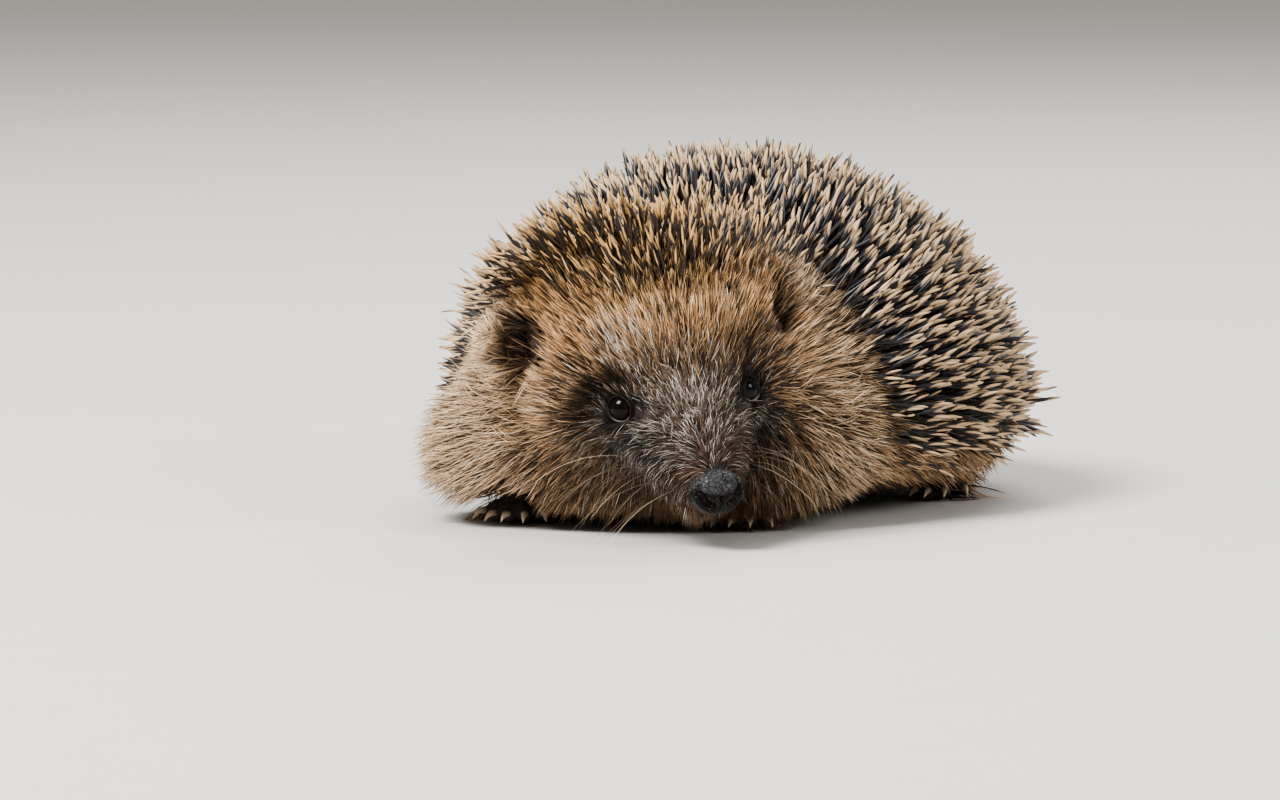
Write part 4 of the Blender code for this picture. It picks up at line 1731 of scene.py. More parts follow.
    def colours(self, points: Array, lids: Array, mouth: Array) -> Array:
        """Work out the skin's colour at each point.

        Args:
            points: The skin's points.
            lids: How much each belongs to the edge of a lid.
            mouth: How much each belongs to the line of the mouth.

        Returns:
            A colour for each point.
        """
        tint = self.coat.blend(self.coat.shares(points), "skin")
        dark = np.maximum(lids * self.lid_line, mouth)[:, None]
        tint = tint * (1 - dark) + dark * self.dark_line
        for side in Side:
            gap = points - centre_of(f"eye_{side.word}")
            tint = tint * ease(np.linalg.norm(gap, axis=1)[:, None], *self.eye_shadow)
            # A pale grey line along the lower lid's edge: painted highlight on the wet rim.
            under = ease(-gap @ self.head.way(self.lid_below), *self.lid_rim_reach) * lids
            tint = tint + under[:, None] * self.lid_rim
        # Skin is darkened towards the near-black colour close to the floor.
        low = (1 - ease(points[:, 2], *self.dark_feet))[:, None] * self.feet_shade
        return tint * (1 - low) + low * DARK_SKIN_AND_SHADE

    def build(self, feet: list[Foot]) -> Object:
        """Make the skin.

        Args:
            feet: The four feet, whose meshes become part of it.

        Returns:
            The skin, with its colours and its unwrap.
        """
        pieces = [self.core()] + [self.ear_root(side) for side in Side]
        pieces += [node_mesh(name) for name in self.limbs] + [self.leg_root(name) for name in self.legs]
        mesh = remeshed(joined(pieces, "skin"), self.voxel, 3)
        for piece in [self.ear(side) for side in Side] + [foot.mesh() for foot in feet]:
            mesh = united(mesh, piece)
        mesh = self.refine(mesh)
        surface = Surface.of(mesh)
        points, mouth = Mouth(self.head).sculpt(surface.points, surface.normals)
        lids = np.zeros(len(points))
        for side in Side:
            points, edge = Lids(self.head, side).sculpt(points)
            lids = np.maximum(lids, edge)
        put_points(mesh, points)
        set_attribute(mesh, "tint", "FLOAT_COLOR", self.colours(points, lids, mouth))
        skin = linked("skin", mesh)
        self.unwrap(skin)
        return skin

    @staticmethod
    def unwrap(skin: Object) -> None:
        """Unfold the skin's own shape into the map that the roots are placed on.

        Args:
            skin: The skin.
        """
        for layer in list(skin.data.uv_layers):
            skin.data.uv_layers.remove(layer)
        skin.data.uv_layers.new(name=ROOT_MAP)
        bpy.context.view_layer.objects.active = skin
        skin.select_set(True)
        bpy.ops.object.mode_set(mode="EDIT")
        bpy.ops.mesh.select_all(action="SELECT")
        bpy.ops.uv.smart_project(angle_limit=math.radians(75), island_margin=0.004)
        bpy.ops.object.mode_set(mode="OBJECT")
        skin.select_set(False)


@dataclass(frozen=True)
class Nostril:
    """One comma-shaped nostril, along a curve whose three knots are in mm from the pad's middle."""

    side: Side
    comma: tuple[Triple, Triple, Triple] = ((4.0, -0.4, 3.1), (4.1, -2.7, 1.8), (2.2, -3.9, 0.5))
    steps: int = 13
    narrow: float = 0.5
    widening: float = 0.65
    shallow: float = 0.7
    wing_away: Triple = (1.3, 0.5, -0.4)
    wing_width: float = 0.9

    def shares(self, place: Array) -> tuple[Array, Array]:
        """Say how deep the nostril is at each place, and where the wing outside it swells.

        Args:
            place: Places on the pad, in mm from its middle.

        Returns:
            The hole and the wing, each from 0 to 1.
        """
        hole = np.zeros(len(place))
        wing = np.zeros(len(place))
        mirror = np.array([self.side.value, 1, 1])
        knots = mirror * self.comma
        for t in np.linspace(0, 1, self.steps):
            middle = knots[0] * (1 - t) ** 2 + knots[1] * 2 * t * (1 - t) + knots[2] * t**2
            gap = apart(place, middle)
            width = self.narrow + self.widening * t
            depth = self.shallow + (1 - self.shallow) * t
            hole = np.maximum(hole, np.exp(-((gap / width) ** 2)) * depth)
            outside = apart(place, middle + mirror * self.wing_away)
            wing = np.maximum(wing, np.exp(-((outside / self.wing_width) ** 2)))
        return hole, wing


@dataclass
class NosePad:
    """The nose: a broad pad with two nostrils, a groove between them and a fold above them.

    Sizes are in mm. The level rises from the underside of the pad, past the fold, to the top.
    """

    head: HeadFrame
    radii: Triple = (5.6, 4.5, 5.0)
    middle: Triple = (0, 3.4, -0.2)
    columns: int = 144
    rows: int = 96
    rise_back: float = 0.75
    rise_up: float = 0.65
    arch: float = 0.07
    groove_width: float = 0.3
    groove_depth: float = 0.45
    groove_end: Pair = (-1.4, -0.4)
    brim_level: float = 0.1
    brim_width: float = 0.5
    brim_height: float = 0.12
    fold_level: float = -0.9
    fold_width: float = 0.35
    fold_depth: float = 0.3
    wing_height: float = 0.4
    nostril_depth: float = 2.1
    wet_below: Pair = (-0.9, 0.3)
    pit: Pair = (0.25, 0.6)

    def build(self) -> Object:
        """Model the pad as a sphere whose pole looks forward, then press in nostrils and groove.

        Returns:
            The pad.
        """
        bm = bmesh.new()
        bmesh.ops.create_uvsphere(bm, u_segments=self.columns, v_segments=self.rows, radius=1)
        bmesh.ops.rotate(bm, verts=bm.verts, matrix=Matrix.Rotation(math.pi / 2, 3, "X"))
        mesh = from_bmesh(bm, "nose_pad")
        ball = points_of(mesh)
        place = ball * self.radii
        normals = unit(ball / self.radii)
        nostrils = [Nostril(side).shares(place) for side in Side]
        hole = np.maximum(*(nostril[0] for nostril in nostrils))
        wing = np.maximum(*(nostril[1] for nostril in nostrils))
        across, back, up = place.T
        level = self.rise_back * back + self.rise_up * up - self.arch * across**2
        groove = np.exp(-((across / self.groove_width) ** 2)) * (1 - ease(level, *self.groove_end))
        brim = np.exp(-(((level - self.brim_level) / self.brim_width) ** 2))
        fold = np.exp(-(((level - self.fold_level) / self.fold_width) ** 2))
        relief = self.wing_height * wing * (1 - hole) + self.brim_height * brim
        relief = relief - self.groove_depth * groove - self.fold_depth * fold
        relief = relief - self.nostril_depth * hole**1.5
        place = place + normals * relief[:, None]
        wet = 1 - ease(level, *self.wet_below)
        put_points(mesh, self.head.out((place + self.middle) * MM))
        set_attribute(mesh, "wet", "FLOAT", np.clip(wet + hole, 0, 1))
        set_attribute(mesh, "pit", "FLOAT", ease(hole, *self.pit))
        return linked("nose_pad", mesh)


@dataclass
class Eyeball:
    """A round wet eye, with an iris round a dark pupil. The iris is given by how near the look it is."""

    side: Side
    outer: Pair = (0.45, 0.6)
    inner: Pair = (0.8, 0.9)
    columns: int = 64
    rows: int = 40

    def build(self, head: HeadFrame) -> Object:
        """Make the ball at the solid's place and size, with its iris towards the look.

        Args:
            head: The head's frame.

        Returns:
            The eyeball.
        """
        bm = bmesh.new()
        radius = eye_radius(self.side)
        bmesh.ops.create_uvsphere(bm, u_segments=self.columns, v_segments=self.rows, radius=radius)
        mesh = from_bmesh(bm, "eye")
        points = points_of(mesh)
        facing = unit(points) @ head.look(self.side)
        iris = ease(facing, *self.outer) * (1 - ease(facing, *self.inner))
        set_attribute(mesh, "iris", "FLOAT", iris)
        put_points(mesh, points + centre_of(f"eye_{self.side.word}"))
        return linked(f"eyeball_{self.side.word}", mesh)


# -------- quills


@dataclass
class QuillCoat:
    """The quills, strewn over the skin's quill zones by Geometry Nodes and made real meshes.

    One quill is one long and one across. The bed says for each place how long, thick and steep quills
    stand there, and the tree sizes and turns them. Ranges are shares of what the bed says.
    """

    coat: CoatMap
    lie: Lie
    ceiling: Ceiling
    spacing: float = 1.35 * MM
    front_spacing: float = 1.2 * MM
    front_end: float = -22 * MM
    rear_start: float = 34 * MM
    most: float = 1200000.0
    sides: int = 6
    bow: float = 0.4
    profile: tuple[float, ...] = (0.5, 0.9, 1.0, 0.95, 0.6, 0.0)
    knots: tuple[float, ...] = (0.0, 0.12, 0.6, 0.82, 0.93, 1.0)
    lengths: Pair = (0.82, 1.1)
    widths: Pair = (0.8, 1.15)
    stray: float = 0.36
    stray_outward: float = 0.65
    fall_share: float = 0.3
    rise: float = 0.9
    rises: Pair = (0.15, 0.85)
    clearance: float = 4 * MM
    cover: Pair = (0.3, 0.75)
    lowest: Pair = (9 * MM, 15 * MM)
    front_thinning: float = 0.25
    thinning: Pair = (-42 * MM, -22 * MM)
    ear_ahead: float = 7 * MM
    ear_gap: Pair = (9 * MM, 10 * MM)
    bare: float = 0.01
    floor: float = 0.4 * MM
    seed: int = 11

    def quill(self) -> Object:
        """Make one quill, one long and one across, slightly bowed, standing on Z.

        Returns:
            The quill, which isn't rendered itself.
        """
        knots = np.array(self.knots)
        path = np.stack([self.bow * (knots**2 - knots), np.zeros(len(knots)), knots], axis=1)
        radii = np.array(self.profile) * 0.5
        strand = Strands(path[None], radii[None], np.array([[0.0, 1.0, 0.0]]), self.sides, np.zeros((1, 2)))
        mesh = strand.mesh("quill")
        along = np.append(np.repeat(knots[:-1], self.sides), 1.0)
        mesh.attributes["along"].data.foreach_set("value", along.astype(np.float32))
        obj = linked("quill", mesh)
        obj.hide_render = True
        return obj

    def bed(self, skin: Object, surface: Surface, shares: Array, keep: Array, front: bool) -> Object:
        """Copy the part of the skin that one piece of quills grows from.

        Args:
            skin: The finished skin.
            surface: The skin's arrays.
            shares: The zones' shares at each point.
            keep: For each point, whether it belongs to the piece.
            front: Whether it is the piece over the head.

        Returns:
            An object with the quills' directions, sizes and colours stored on it.
        """
        mesh = skin.data.copy()
        mesh.attributes.remove(mesh.attributes["tint"])
        mesh.uv_layers[0].name = "root_uv"
        long = self.coat.blend(shares, "length") * MM
        fall = self.coat.blend(shares, "fall") * self.fall_share
        along = self.lie.at(surface.points, surface.normals, fall)
        rise = np.clip(-self.rise * self.ceiling.height(surface.points) / long, *self.rises)[:, None]
        stand = along * np.sqrt(1 - rise**2) + surface.normals * rise
        least = (self.clearance - surface.points[:, 2]) / (self.lengths[1] * long)
        stand[:, 2] = np.maximum(stand[:, 2], least)
        cover = ease(self.coat.blend(shares, "quills"), *self.cover) * keep
        cover = cover * ease(surface.points[:, 2], *self.lowest)
        if front:
            cover = cover * (1 - self.front_thinning * ease(surface.points[:, 1], *self.thinning))
        for side in Side:
            ahead = centre_of(f"ear_{side.word}") + self.coat.head.way((0.0, -1.0, 0.1)) * self.ear_ahead
            cover = cover * ease(apart(surface.points, ahead), *self.ear_gap)
        set_attribute(mesh, "stand", "FLOAT_VECTOR", stand)
        set_attribute(mesh, "long", "FLOAT", long)
        set_attribute(mesh, "thick", "FLOAT", self.coat.blend(shares, "width") * MM)
        for name in ("band", "warm"):
            set_attribute(mesh, name, "FLOAT", self.coat.blend(shares, name))
        set_attribute(mesh, "tint", "FLOAT_COLOR", self.coat.blend(shares, "tip"))
        set_attribute(mesh, "cover", "FLOAT", cover)
        bm = bmesh.new()
        bm.from_mesh(mesh)
        cover = bm.verts.layers.float["cover"]
        bare = [face for face in bm.faces if all(vertex[cover] < self.bare for vertex in face.verts)]
        bmesh.ops.delete(bm, geom=bare, context="FACES")
        bm.to_mesh(mesh)
        bm.free()
        return linked("bed", mesh)

    def tree(self) -> NodeTree:
        """Build the node tree that strews, turns and sizes the quills.

        Returns:
            The tree.
        """
        tree = bpy.data.node_groups.new("quill_coat", "GeometryNodeTree")
        shapes = {"Geometry": "Geometry", "Quill": "Object", "Material": "Material"}
        sizes = {"Spacing": "Float", "Most": "Float", "Stray": "Float", "Seed": "Int"}
        add_sockets(tree, "INPUT", shapes | sizes)
        add_sockets(tree, "OUTPUT", {"Geometry": "Geometry"})
        nodes = Nodes(tree)
        entry = nodes.add("NodeGroupInput").outputs

        def named(name: str, kind: str) -> NodeSocket:
            """Read one of the bed's attributes."""
            return nodes.result("GeometryNodeInputNamedAttribute", {"Name": name}, data_type=kind)

        def chance(kind: str, low: object, high: object, offset: int) -> NodeSocket:
            """Draw a number or a vector for each quill."""
            seed = nodes.math("ADD", entry["Seed"], offset)
            inputs = {"Min": low, "Max": high, "Seed": seed}
            return nodes.result("FunctionNodeRandomValue", inputs, data_type=kind)

        def vector(operation: str, first: object, second: object) -> NodeSocket:
            """Reckon with two vectors, or scale the first by a number."""
            inputs = {0: first, "Scale" if operation == "SCALE" else 1: second}
            return nodes.result("ShaderNodeVectorMath", inputs, operation=operation)

        def stored(geometry: NodeSocket, name: str, value: NodeSocket, **where: str) -> NodeSocket:
            """Store a value on a geometry."""
            inputs = {"Geometry": geometry, "Name": name, "Value": value}
            return nodes.result("GeometryNodeStoreNamedAttribute", inputs, **where)

        strewn = nodes.add(
            "GeometryNodeDistributePointsOnFaces",
            {
                "Mesh": entry["Geometry"],
                "Distance Min": entry["Spacing"],
                "Density Max": entry["Most"],
                "Density Factor": named("cover", "FLOAT"),
                "Seed": entry["Seed"],
            },
            distribute_method="POISSON",
        )
        swing = vector("SCALE", chance("FLOAT_VECTOR", (-1, -1, -1), (1, 1, 1), 1), entry["Stray"])
        outward = vector("PROJECT", swing, strewn.outputs["Normal"])
        swing = vector("SUBTRACT", swing, vector("SCALE", outward, self.stray_outward))
        heading = vector("ADD", named("stand", "FLOAT_VECTOR"), swing)
        turned = nodes.result("FunctionNodeAlignRotationToVector", {"Vector": heading}, axis="Z")
        length = nodes.math("MULTIPLY", named("long", "FLOAT"), chance("FLOAT", *self.lengths, 2))
        thick = nodes.math("MULTIPLY", named("thick", "FLOAT"), chance("FLOAT", *self.widths, 3))
        size = nodes.result("ShaderNodeCombineXYZ", {"X": thick, "Y": thick, "Z": length})
        shade = chance("FLOAT", 0.0, 1.0, 4)
        places = stored(strewn.outputs["Points"], "shade", shade, data_type="FLOAT", domain="POINT")
        shape = nodes.add("GeometryNodeObjectInfo", {"Object": entry["Quill"]}).outputs["Geometry"]
        inputs = {"Points": places, "Instance": shape, "Rotation": turned, "Scale": size}
        stood = nodes.result("GeometryNodeInstanceOnPoints", inputs)
        real = nodes.result("GeometryNodeRealizeInstances", {"Geometry": stood})
        patch = vector("ADD", named(ROOT_MAP, "FLOAT_VECTOR"), named("root_uv", "FLOAT_VECTOR"))
        placed = stored(real, ROOT_MAP, patch, data_type="FLOAT2", domain="CORNER")
        inputs = {"Geometry": placed, "Material": entry["Material"]}
        nodes.add("NodeGroupOutput", {"Geometry": nodes.result("GeometryNodeSetMaterial", inputs)})
        return tree

    def build(self, skin: Object, material: Material) -> None:
        """Grow the quills in pieces: over the head, on each flank and behind.

        Args:
            skin: The finished skin.
            material: The quills' material.
        """
        surface = Surface.of(skin.data)
        shares = self.coat.shares(surface.points)
        x, y, _ = surface.points.T
        front = y < self.front_end
        rear = y > self.rear_start
        pieces = {
            "quills_front": front,
            "quills_left": ~front & ~rear & (x > 0),
            "quills_right": ~front & ~rear & (x <= 0),
            "quills_rear": rear,
        }
        quill = self.quill()
        tree = self.tree()
        for number, (name, keep) in enumerate(pieces.items()):
            over_head = name == "quills_front"
            values = {
                "Quill": quill,
                "Spacing": self.front_spacing if over_head else self.spacing,
                "Most": self.most,
                "Stray": self.stray,
                "Material": material,
                "Seed": self.seed + number * 10,
            }
            bed = self.bed(skin, surface, shares, keep, over_head)
            grower = bed.modifiers.new("grow", "NODES")
            grower.node_group = tree
            for item in tree.interface.items_tree:
                if item.name in values:
                    grower[item.identifier] = values[item.name]
            mesh = settled(bed)
            points = points_of(mesh)
            points[:, 2] = np.maximum(points[:, 2], self.floor)
            put_points(mesh, points)
            for extra in ("root_uv", "stand", "long", "thick", "cover"):
                if extra in mesh.attributes:
                    mesh.attributes.remove(mesh.attributes[extra])
            register(linked(name, mesh), material, "quills")
        bpy.data.objects.remove(quill)


# -------- fur


@dataclass(frozen=True)
class Windows:
    """Round places that the fur leaves open: ears, eyes, and the toes of the foot set forward.

    A grid of balls runs up each ear's opening and out of it. The left ear's opening is a long slit,
    and its middle is given in the head's frame. Steps are in mm.
    """

    head: HeadFrame
    ear_radius: float = 2.65 * MM
    ear_crossing: float = 0.025
    right_cup: Triple = (-0.76, -0.54, 0.36)
    right_away: float = 4.2 * MM
    right_grid: tuple[Pair, Pair] = ((-2.0, 2.0), (0.0, 3.0))
    left_opening: Triple = (26.5, 44, 7)
    left_grid: tuple[tuple[float, ...], ...] = ((-3.6, -1.2, 1.2, 3.6), (0.0, 3.0, 6.0, 9.0))
    eye_radius: float = 3.0 * MM
    eye_near: float = 3.4 * MM
    eye_far: float = 5.5 * MM
    toe_radius: float = 4.1 * MM
    toe_grid: tuple[tuple[int, ...], ...] = ((2, 3, 4), (-2, 3, 8, 13))

    def at_ear(self, side: Side) -> list[Array]:
        """List the middles of the balls that keep an ear open.

        Args:
            side: The ear's side.

        Returns:
            The middles.
        """
        cup = self.head.out(np.array(self.left_opening) * MM)
        grid = self.left_grid
        if side is Side.RIGHT:
            cup = centre_of("ear_right") + self.head.way(self.right_cup, side) * self.right_away
            grid = self.right_grid
        up = self.head.way((0.0, 0.75, 0.65))
        out = self.head.way((-0.25, -0.6, 0.75))
        return [cup + (up * rise + out * step) * MM for rise, step in itertools.product(*grid)]

    def balls(self) -> list[tuple[Array, float, float]]:
        """List all balls with their radius and the share of hairs that may cross them.

        Returns:
            The middle, the radius and the share of each ball.
        """
        found = []
        for side in Side:
            found += [(place, self.ear_radius, self.ear_crossing) for place in self.at_ear(side)]
            eye = centre_of(f"eye_{side.word}")
            found.append((eye + self.head.look(side) * self.eye_near, self.eye_radius, 0.0))
            found.append((eye + self.head.way((0.0, -0.62, 0.78)) * self.eye_far, self.eye_radius, 0.0))
        for number, step in itertools.product(*self.toe_grid):
            toe = centre_of(f"foreclaw_right_{number}") + np.array([0.2 * step, -step, 1.0]) * MM
            found.append((toe, self.toe_radius, 0.0))
        return found


@dataclass
class FurCoat:
    """The fur, grown hair by hair in locks that follow the coat's lie.

    Ranges are shares of what the zones say, and each hair draws its own from them.
    """

    coat: CoatMap
    lie: Lie
    ceiling: Ceiling
    seed: int = 5
    eye_bare: Pair = (3.1 * MM, 3.4 * MM)
    sole_bare: Pair = (1.0 * MM, 2.5 * MM)
    lengths: Pair = (0.7, 1.12)
    widths: Pair = (0.75, 1.2)
    widest: float = 0.28 * MM
    shorter_by_quills: float = 0.6
    stray_share: float = 0.8
    heights: Pair = (0.5, 1.1)
    lifts: Pair = (0.1, 0.9)
    lift_at_root: float = 1.35
    lift_loss: float = 0.7
    droop: float = 0.7
    bow: float = 0.6
    sunk: float = 0.3 * MM
    lock: float = 0.58
    locks: Pair = (0.4, 1.2)
    lock_start: float = 1.4
    hairs_in_lock: int = 11
    fewest: int = 3
    sides: int = 3
    floor: float = 0.35 * MM
    short_knots: int = 4
    long_knots: int = 5
    taper: tuple[float, ...] = (0.75, 1.0, 0.9, 0.65, 0.0)
    # Hair under the quills is darkened towards this colour: painted shade between the quills.
    white: Triple = (0.68, 0.635, 0.57)
    underfur: Triple = (0.15, 0.098, 0.058)
    underfur_share: float = 0.75
    own_share: float = 0.75
    # How dark the dark hairs are; set in streaks, they also paint the shade in the gaps between locks.
    dim: float = 0.22
    tuft: float = 0.9 * MM
    tuft_share: float = 0.45
    streak: float = 1.3 * MM
    streak_share: float = 0.55

    def growth(self, skin: Object) -> Roots:
        """Strew the roots, thinly on the quill zones and not at all on eyes and soles.

        Args:
            skin: The finished skin.

        Returns:
            The roots.
        """
        surface = Surface.of(skin.data)
        middle = surface.corners.mean(1)
        density = self.coat.blend(self.coat.shares(middle), "density")
        for side in Side:
            density *= ease(apart(middle, centre_of(f"eye_{side.word}")), *self.eye_bare)
        density *= ease(middle[:, 2], *self.sole_bare)
        return surface.scatter(density / MM**2, np.random.default_rng(self.seed))

    def paths(self, roots: Roots, shares: Array, knots: int, rng: Generator) -> Array:
        """Grow the hairs from their roots.

        Args:
            roots: Where they grow.
            shares: The zones' shares at each root.
            knots: How many points each hair has.
            rng: The source of chance.

        Returns:
            The points along each hair.
        """
        count = len(roots)
        length = self.coat.blend(shares, "length")[:, None] * MM * rng.uniform(*self.lengths, (count, 1))
        fall = self.coat.blend(shares, "fall")
        stray = self.coat.blend(shares, "stray")[:, None]
        along = self.lie.at(roots.points, roots.normals, fall)
        quilled = self.coat.blend(shares, "quills")[:, None]
        length = length * (1 - self.shorter_by_quills * quilled)
        swing = sideways(rng.normal(0, 1, (count, 3)), roots.normals)
        along = unit(along + swing * stray * self.stray_share)
        room = -self.ceiling.height(roots.points)[:, None] * rng.uniform(*self.heights, (count, 1))
        lift = np.arcsin(np.clip(room / length, *self.lifts))
        bow = sideways(rng.normal(0, 1, (count, 3)), roots.normals) * stray
        down = np.array([0.0, 0.0, -1.0]) * fall[:, None]
        place = roots.points - roots.normals * self.sunk
        paths = [place]
        for step in range(1, knots):
            t = step / (knots - 1)
            rise = lift * (self.lift_at_root - self.lift_loss * t)
            heading = along * np.cos(rise) + roots.normals * np.sin(rise)
            heading = heading + down * t * self.droop + bow * t * self.bow
            place = place + unit(heading) * length / (knots - 1)
            paths.append(place)
        return self.locked(np.stack(paths, axis=1), rng)

    def locked(self, paths: Array, rng: Generator) -> Array:
        """Draw neighbouring hairs together towards their tips, and lift what meets the floor.

        Args:
            paths: The points along each hair.
            rng: The source of chance.

        Returns:
            The new points.
        """
        count, knots, _ = paths.shape
        leaders = np.sort(rng.choice(count, max(1, count // self.hairs_in_lock), replace=False))
        tree = KDTree(len(leaders))
        for index, leader in enumerate(leaders):
            tree.insert(paths[leader, 0], index)
        tree.balance()
        nearest = leaders[[tree.find(root)[1] for root in paths[:, 0]]]
        along = np.linspace(0, 1, knots)[:, None]
        pull = self.lock * rng.uniform(*self.locks, (count, 1, 1)) * along**self.lock_start
        paths = paths + (paths[nearest] - paths) * pull
        paths[:, 1:, 2] = np.maximum(paths[:, 1:, 2], self.floor)
        return paths

    def clear(self, paths: Array, rng: Generator) -> Array:
        """Leave out the hairs that would cross a window, except a few at the ears.

        Args:
            paths: The points along each hair.
            rng: The source of chance.

        Returns:
            For each hair, whether it stays.
        """
        keep = np.ones(len(paths), bool)
        checked = np.concatenate([paths[:, 1:], (paths[:, 1:] + paths[:, :-1]) / 2], axis=1)
        for place, radius, crossing in Windows(self.coat.head).balls():
            keep &= (apart(checked, place).min(1) > radius) | (rng.random(len(paths)) < crossing)
        return keep

    def colours(self, roots: Roots, shares: Array, rng: Generator) -> Array:
        """Choose each hair's colour: mostly that of one zone, and white or dark for some.

        Args:
            roots: Where the hairs grow.
            shares: The zones' shares at each root.
            rng: The source of chance.

        Returns:
            A colour for each hair.
        """
        owner = (rng.random((len(roots), 1)) < np.cumsum(self.coat.sharper(shares), axis=1)).argmax(1)
        # Zones with quills darken their hair: painted shade between the quills.
        under = self.underfur_share * ease(self.coat.quilled, 0.5, 1.0)[:, None]
        tips = self.coat.tips * (1 - under) + under * self.underfur
        tint = self.own_share * tips[owner] + (1 - self.own_share) * shares @ tips
        # Dark hairs fall in streaks: partly dark hair, partly painted shade in the gaps between locks.
        draw = self.patchy(roots.points, self.streak, self.streak_share, rng)
        # The draw adds two even draws with shares a and b, so it is below x in x * x / (2 * a * b) of all.
        spread = 2 * self.streak_share * (1 - self.streak_share)
        dim = draw < np.sqrt(spread * self.coat.blend(shares, "dim"))
        tint = np.where(dim[:, None], tint * self.dim, tint)
        pale = rng.random(len(roots)) < self.coat.blend(shares, "white")
        return np.where(pale[:, None], self.white, tint)

    @staticmethod
    def patchy(points: Array, size: float, share: float, rng: Generator) -> Array:
        """Draw a number from 0 to 1 for each hair, part of which all hairs in a small cell have alike.

        Args:
            points: Where the hairs grow.
            size: The size of a cell.
            share: How much of the number the cell gives.
            rng: The source of chance.

        Returns:
            A number for each hair.
        """
        own = rng.random(len(points))
        cell = np.floor(points / size).astype(int)
        mixed = np.sin(cell @ np.array([12.9898, 78.233, 37.719])) * 43758.5453
        return (1 - share) * own + share * (mixed - np.floor(mixed))

    def build(self, skin: Object, material: Material) -> None:
        """Grow each piece of the fur on each side.

        Args:
            skin: The finished skin.
            material: The fur's material.
        """
        roots = self.growth(skin)
        shares = self.coat.shares(roots.points)
        owners = np.array([zone.piece.value for zone in self.coat.zones])[shares.argmax(1)]
        across_head = self.coat.head.into(roots.points)[:, 0]
        for piece in Piece:
            across = across_head if piece.on_head else roots.points[:, 0]
            for side in Side:
                mask = (owners == piece.value) & (across * side.value > 0)
                if mask.sum() >= self.fewest:
                    name = f"fur_{piece.value}_{side.word}"
                    mesh = self.piece_mesh(name, roots.chosen(mask), shares[mask], piece)
                    register(linked(name, mesh), material, "fur")

    def piece_mesh(self, name: str, roots: Roots, shares: Array, piece: Piece) -> Mesh:
        """Make the mesh of one piece of the fur.

        Args:
            name: The piece's name, which also seeds its chance.
            roots: Where its hairs grow.
            shares: The zones' shares at each root.
            piece: Which part of the fur it is.

        Returns:
            The hairs, with their colours and shades.
        """
        rng = np.random.default_rng([self.seed, len(name), ord(name[4]), ord(name[-4])])
        knots = self.short_knots if piece is Piece.FACE else self.long_knots
        paths = self.paths(roots, shares, knots, rng)
        width = np.minimum(self.coat.blend(shares, "width") * MM, self.widest)
        width = width * rng.uniform(*self.widths, len(roots))
        taper = np.interp(np.linspace(0, 1, knots), np.linspace(0, 1, len(self.taper)), self.taper)
        keep = self.clear(paths, rng)
        roots = roots.chosen(keep)
        shares = shares[keep]
        strands = Strands(paths[keep], width[keep, None] / 2 * taper, roots.normals, self.sides, roots.uv)
        mesh = strands.mesh(name)
        tint = self.colours(roots, shares, rng)
        shade = self.patchy(roots.points, self.tuft, self.tuft_share, rng)
        strands.dress(mesh, tint, shade)
        return mesh


@dataclass
class Whiskers:
    """Long stiff hairs on both sides of the muzzle, in three rows that run back from the nose.

    Places are in the head's frame in mm, and each row lies a step further out and down.
    """

    head: HeadFrame
    count: int = 17
    rows: int = 3
    first: Triple = (6.2, 6.5, -1.2)
    row_step: Triple = (0.7, 0.0, -1.6)
    hair_step: Triple = (0.16, 0.75, 0.0)
    headings: tuple[Triple, Triple] = ((0.6, -0.3, -0.8), (1.1, 0.6, 0.1))
    lengths: Pair = (16, 33)
    droop: float = 1.1
    droop_start: float = 1.2
    knots: int = 9
    sides: int = 5
    thickness: float = 0.12 * MM
    thinning: float = 0.7
    floor: float = 0.5 * MM
    seed: int = 23
    dark: Triple = (0.12, 0.07, 0.045)

    def build(self, material: Material) -> None:
        """Grow the whiskers on both sides as one piece.

        Args:
            material: Their material.
        """
        rng = np.random.default_rng(self.seed)
        steps = np.linspace(0, 1, self.knots)[1:]
        paths = []
        for side, number in itertools.product(Side, range(self.count)):
            row = number % self.rows
            root = self.first + np.array([row, number]) @ np.array([self.row_step, self.hair_step])
            root[0] *= side.value
            heading = self.head.way(tuple(rng.uniform(*self.headings)), side)
            length = rng.uniform(*self.lengths) * MM
            place = self.head.out(root * MM)
            path = [place]
            for t in steps:
                bent = unit(heading + np.array([0, 0, -self.droop]) * t**self.droop_start)
                place = place + bent * length / len(steps)
                place[2] = max(place[2], self.floor)
                path.append(place)
            paths.append(path)
        paths = np.array(paths)
        count = len(paths)
        ups = np.tile(self.head.way((0, 0, 1)), (count, 1))
        taper = np.linspace(1, 0, self.knots) ** self.thinning
        radii = np.tile(taper * self.thickness / 2, (count, 1))
        strands = Strands(paths, radii, ups, self.sides, np.tile(MAP_MIDDLE, (count, 1)))
        mesh = strands.mesh("whiskers")
        pale = rng.random(count)[:, None]
        tint = pale * PALE + (1 - pale) * self.dark
        strands.dress(mesh, tint, rng.random(count))
        register(linked("whiskers", mesh), material, "fur")


# -------- studio


@dataclass(frozen=True)
class Lamp:
    """A soft square light, with its place round the target in degrees, its size in m and its watts."""

    name: str
    azimuth: float
    elevation: float
    size: float
    power: float


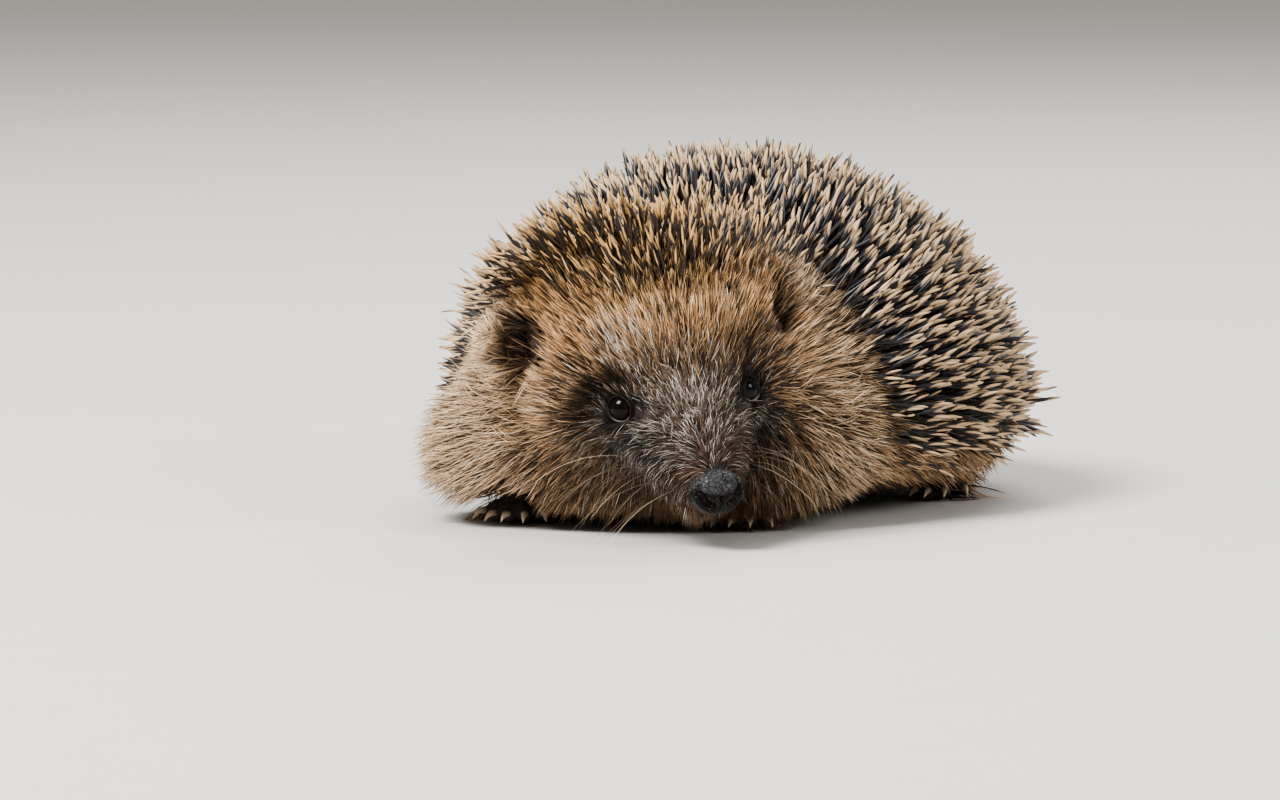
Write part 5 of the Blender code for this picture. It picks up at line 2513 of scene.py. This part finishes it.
@dataclass
class Studio:
    """Floor, lights and camera. The fill light is small, so that both eyes carry a highlight."""

    target: Triple = (-17.9, -4.0, 21.0)
    azimuth: float = 28
    elevation: float = 6
    distance: float = 1.5
    lens: float = 197
    sensor: float = 36
    nearest: float = 0.05
    farthest: float = 50
    floor_size: float = 6.0
    lamp_distance: float = 1.4
    lamps: tuple[Lamp, ...] = (
        Lamp("key", azimuth=-25, elevation=52, size=0.6, power=35),
        Lamp("fill", azimuth=85, elevation=30, size=0.5, power=7),
        Lamp("rim", azimuth=190, elevation=50, size=0.9, power=14),
    )
    sky: Triple = (1.0, 0.97, 0.93)
    sky_strength: float = 0.40

    def aim(self, obj: Object, azimuth: float, elevation: float, distance: float) -> None:
        """Put a camera or a light in the scene, at a place round the target and facing it.

        Args:
            obj: The camera or the light.
            azimuth: Its place round the target, in degrees from the front.
            elevation: Its height over the target, in degrees.
            distance: How far it is from the target.
        """
        around = math.radians(azimuth)
        above = math.radians(elevation)
        flat = math.cos(above)
        out = Vector((math.sin(around) * flat, -math.cos(around) * flat, math.sin(above)))
        obj.location = Vector(self.target) * MM + out * distance
        obj.rotation_euler = (-out).to_track_quat("-Z", "Y").to_euler()
        bpy.context.scene.collection.objects.link(obj)

    def add_camera(self) -> None:
        """Set the camera up, looking at the target."""
        camera = bpy.data.objects.new("camera", bpy.data.cameras.new("camera"))
        camera.data.lens = self.lens
        camera.data.sensor_width = self.sensor
        camera.data.clip_start = self.nearest
        camera.data.clip_end = self.farthest
        self.aim(camera, self.azimuth, self.elevation, self.distance)
        bpy.context.scene.camera = camera

    def add_light(self, lamp: Lamp) -> None:
        """Hang one light.

        Args:
            lamp: The light's place, size and strength.
        """
        light = bpy.data.lights.new(lamp.name, "AREA")
        light.shape = "SQUARE"
        light.size = lamp.size
        light.energy = lamp.power
        self.aim(bpy.data.objects.new(lamp.name, light), lamp.azimuth, lamp.elevation, self.lamp_distance)

    def build(self) -> None:
        """Lay the floor, hang the lights and place the camera."""
        bpy.context.scene.view_settings.look = "AgX - Medium High Contrast"
        bpy.ops.mesh.primitive_plane_add(size=self.floor_size)
        floor = bpy.context.active_object
        floor.name = "floor"
        floor.data.materials.append(FloorFinish().material())
        for lamp in self.lamps:
            self.add_light(lamp)
        world = bpy.data.worlds.new("studio")
        bpy.context.scene.world = world
        world.use_nodes = True
        background = world.node_tree.nodes["Background"]
        background.inputs["Color"].default_value = rgba(self.sky)
        background.inputs["Strength"].default_value = self.sky_strength
        self.add_camera()


def main() -> None:
    """Build the animal and the studio."""
    logging.basicConfig(level=logging.INFO, format="%(asctime)s %(message)s")
    head = HeadFrame()
    coat = CoatMap(head)
    lie = Lie(head)
    feet = [Foot(limb, side) for limb in Limb for side in Side]
    maker = Skin(head, coat)
    skin = maker.build(feet)
    log.info("skin is made")
    fur = FurFinish().material()
    QuillCoat(coat, lie, maker.ceiling).build(skin, QuillFinish().material())
    FurCoat(coat, lie, maker.ceiling).build(skin, fur)
    Whiskers(head).build(fur)
    register(skin, SkinFinish().material(), "skin", *maker.flesh)
    register(NosePad(head).build(), NoseFinish().material(), "nose_leather", "nose")
    eye = EyeFinish().material()
    for side in Side:
        register(Eyeball(side).build(head), eye, "eye", f"eye_{side.word}")
    claw = ClawFinish().material()
    for foot in feet:
        foot.build_claws(claw)
    Studio().build()


if __name__ == "__main__":
    main()
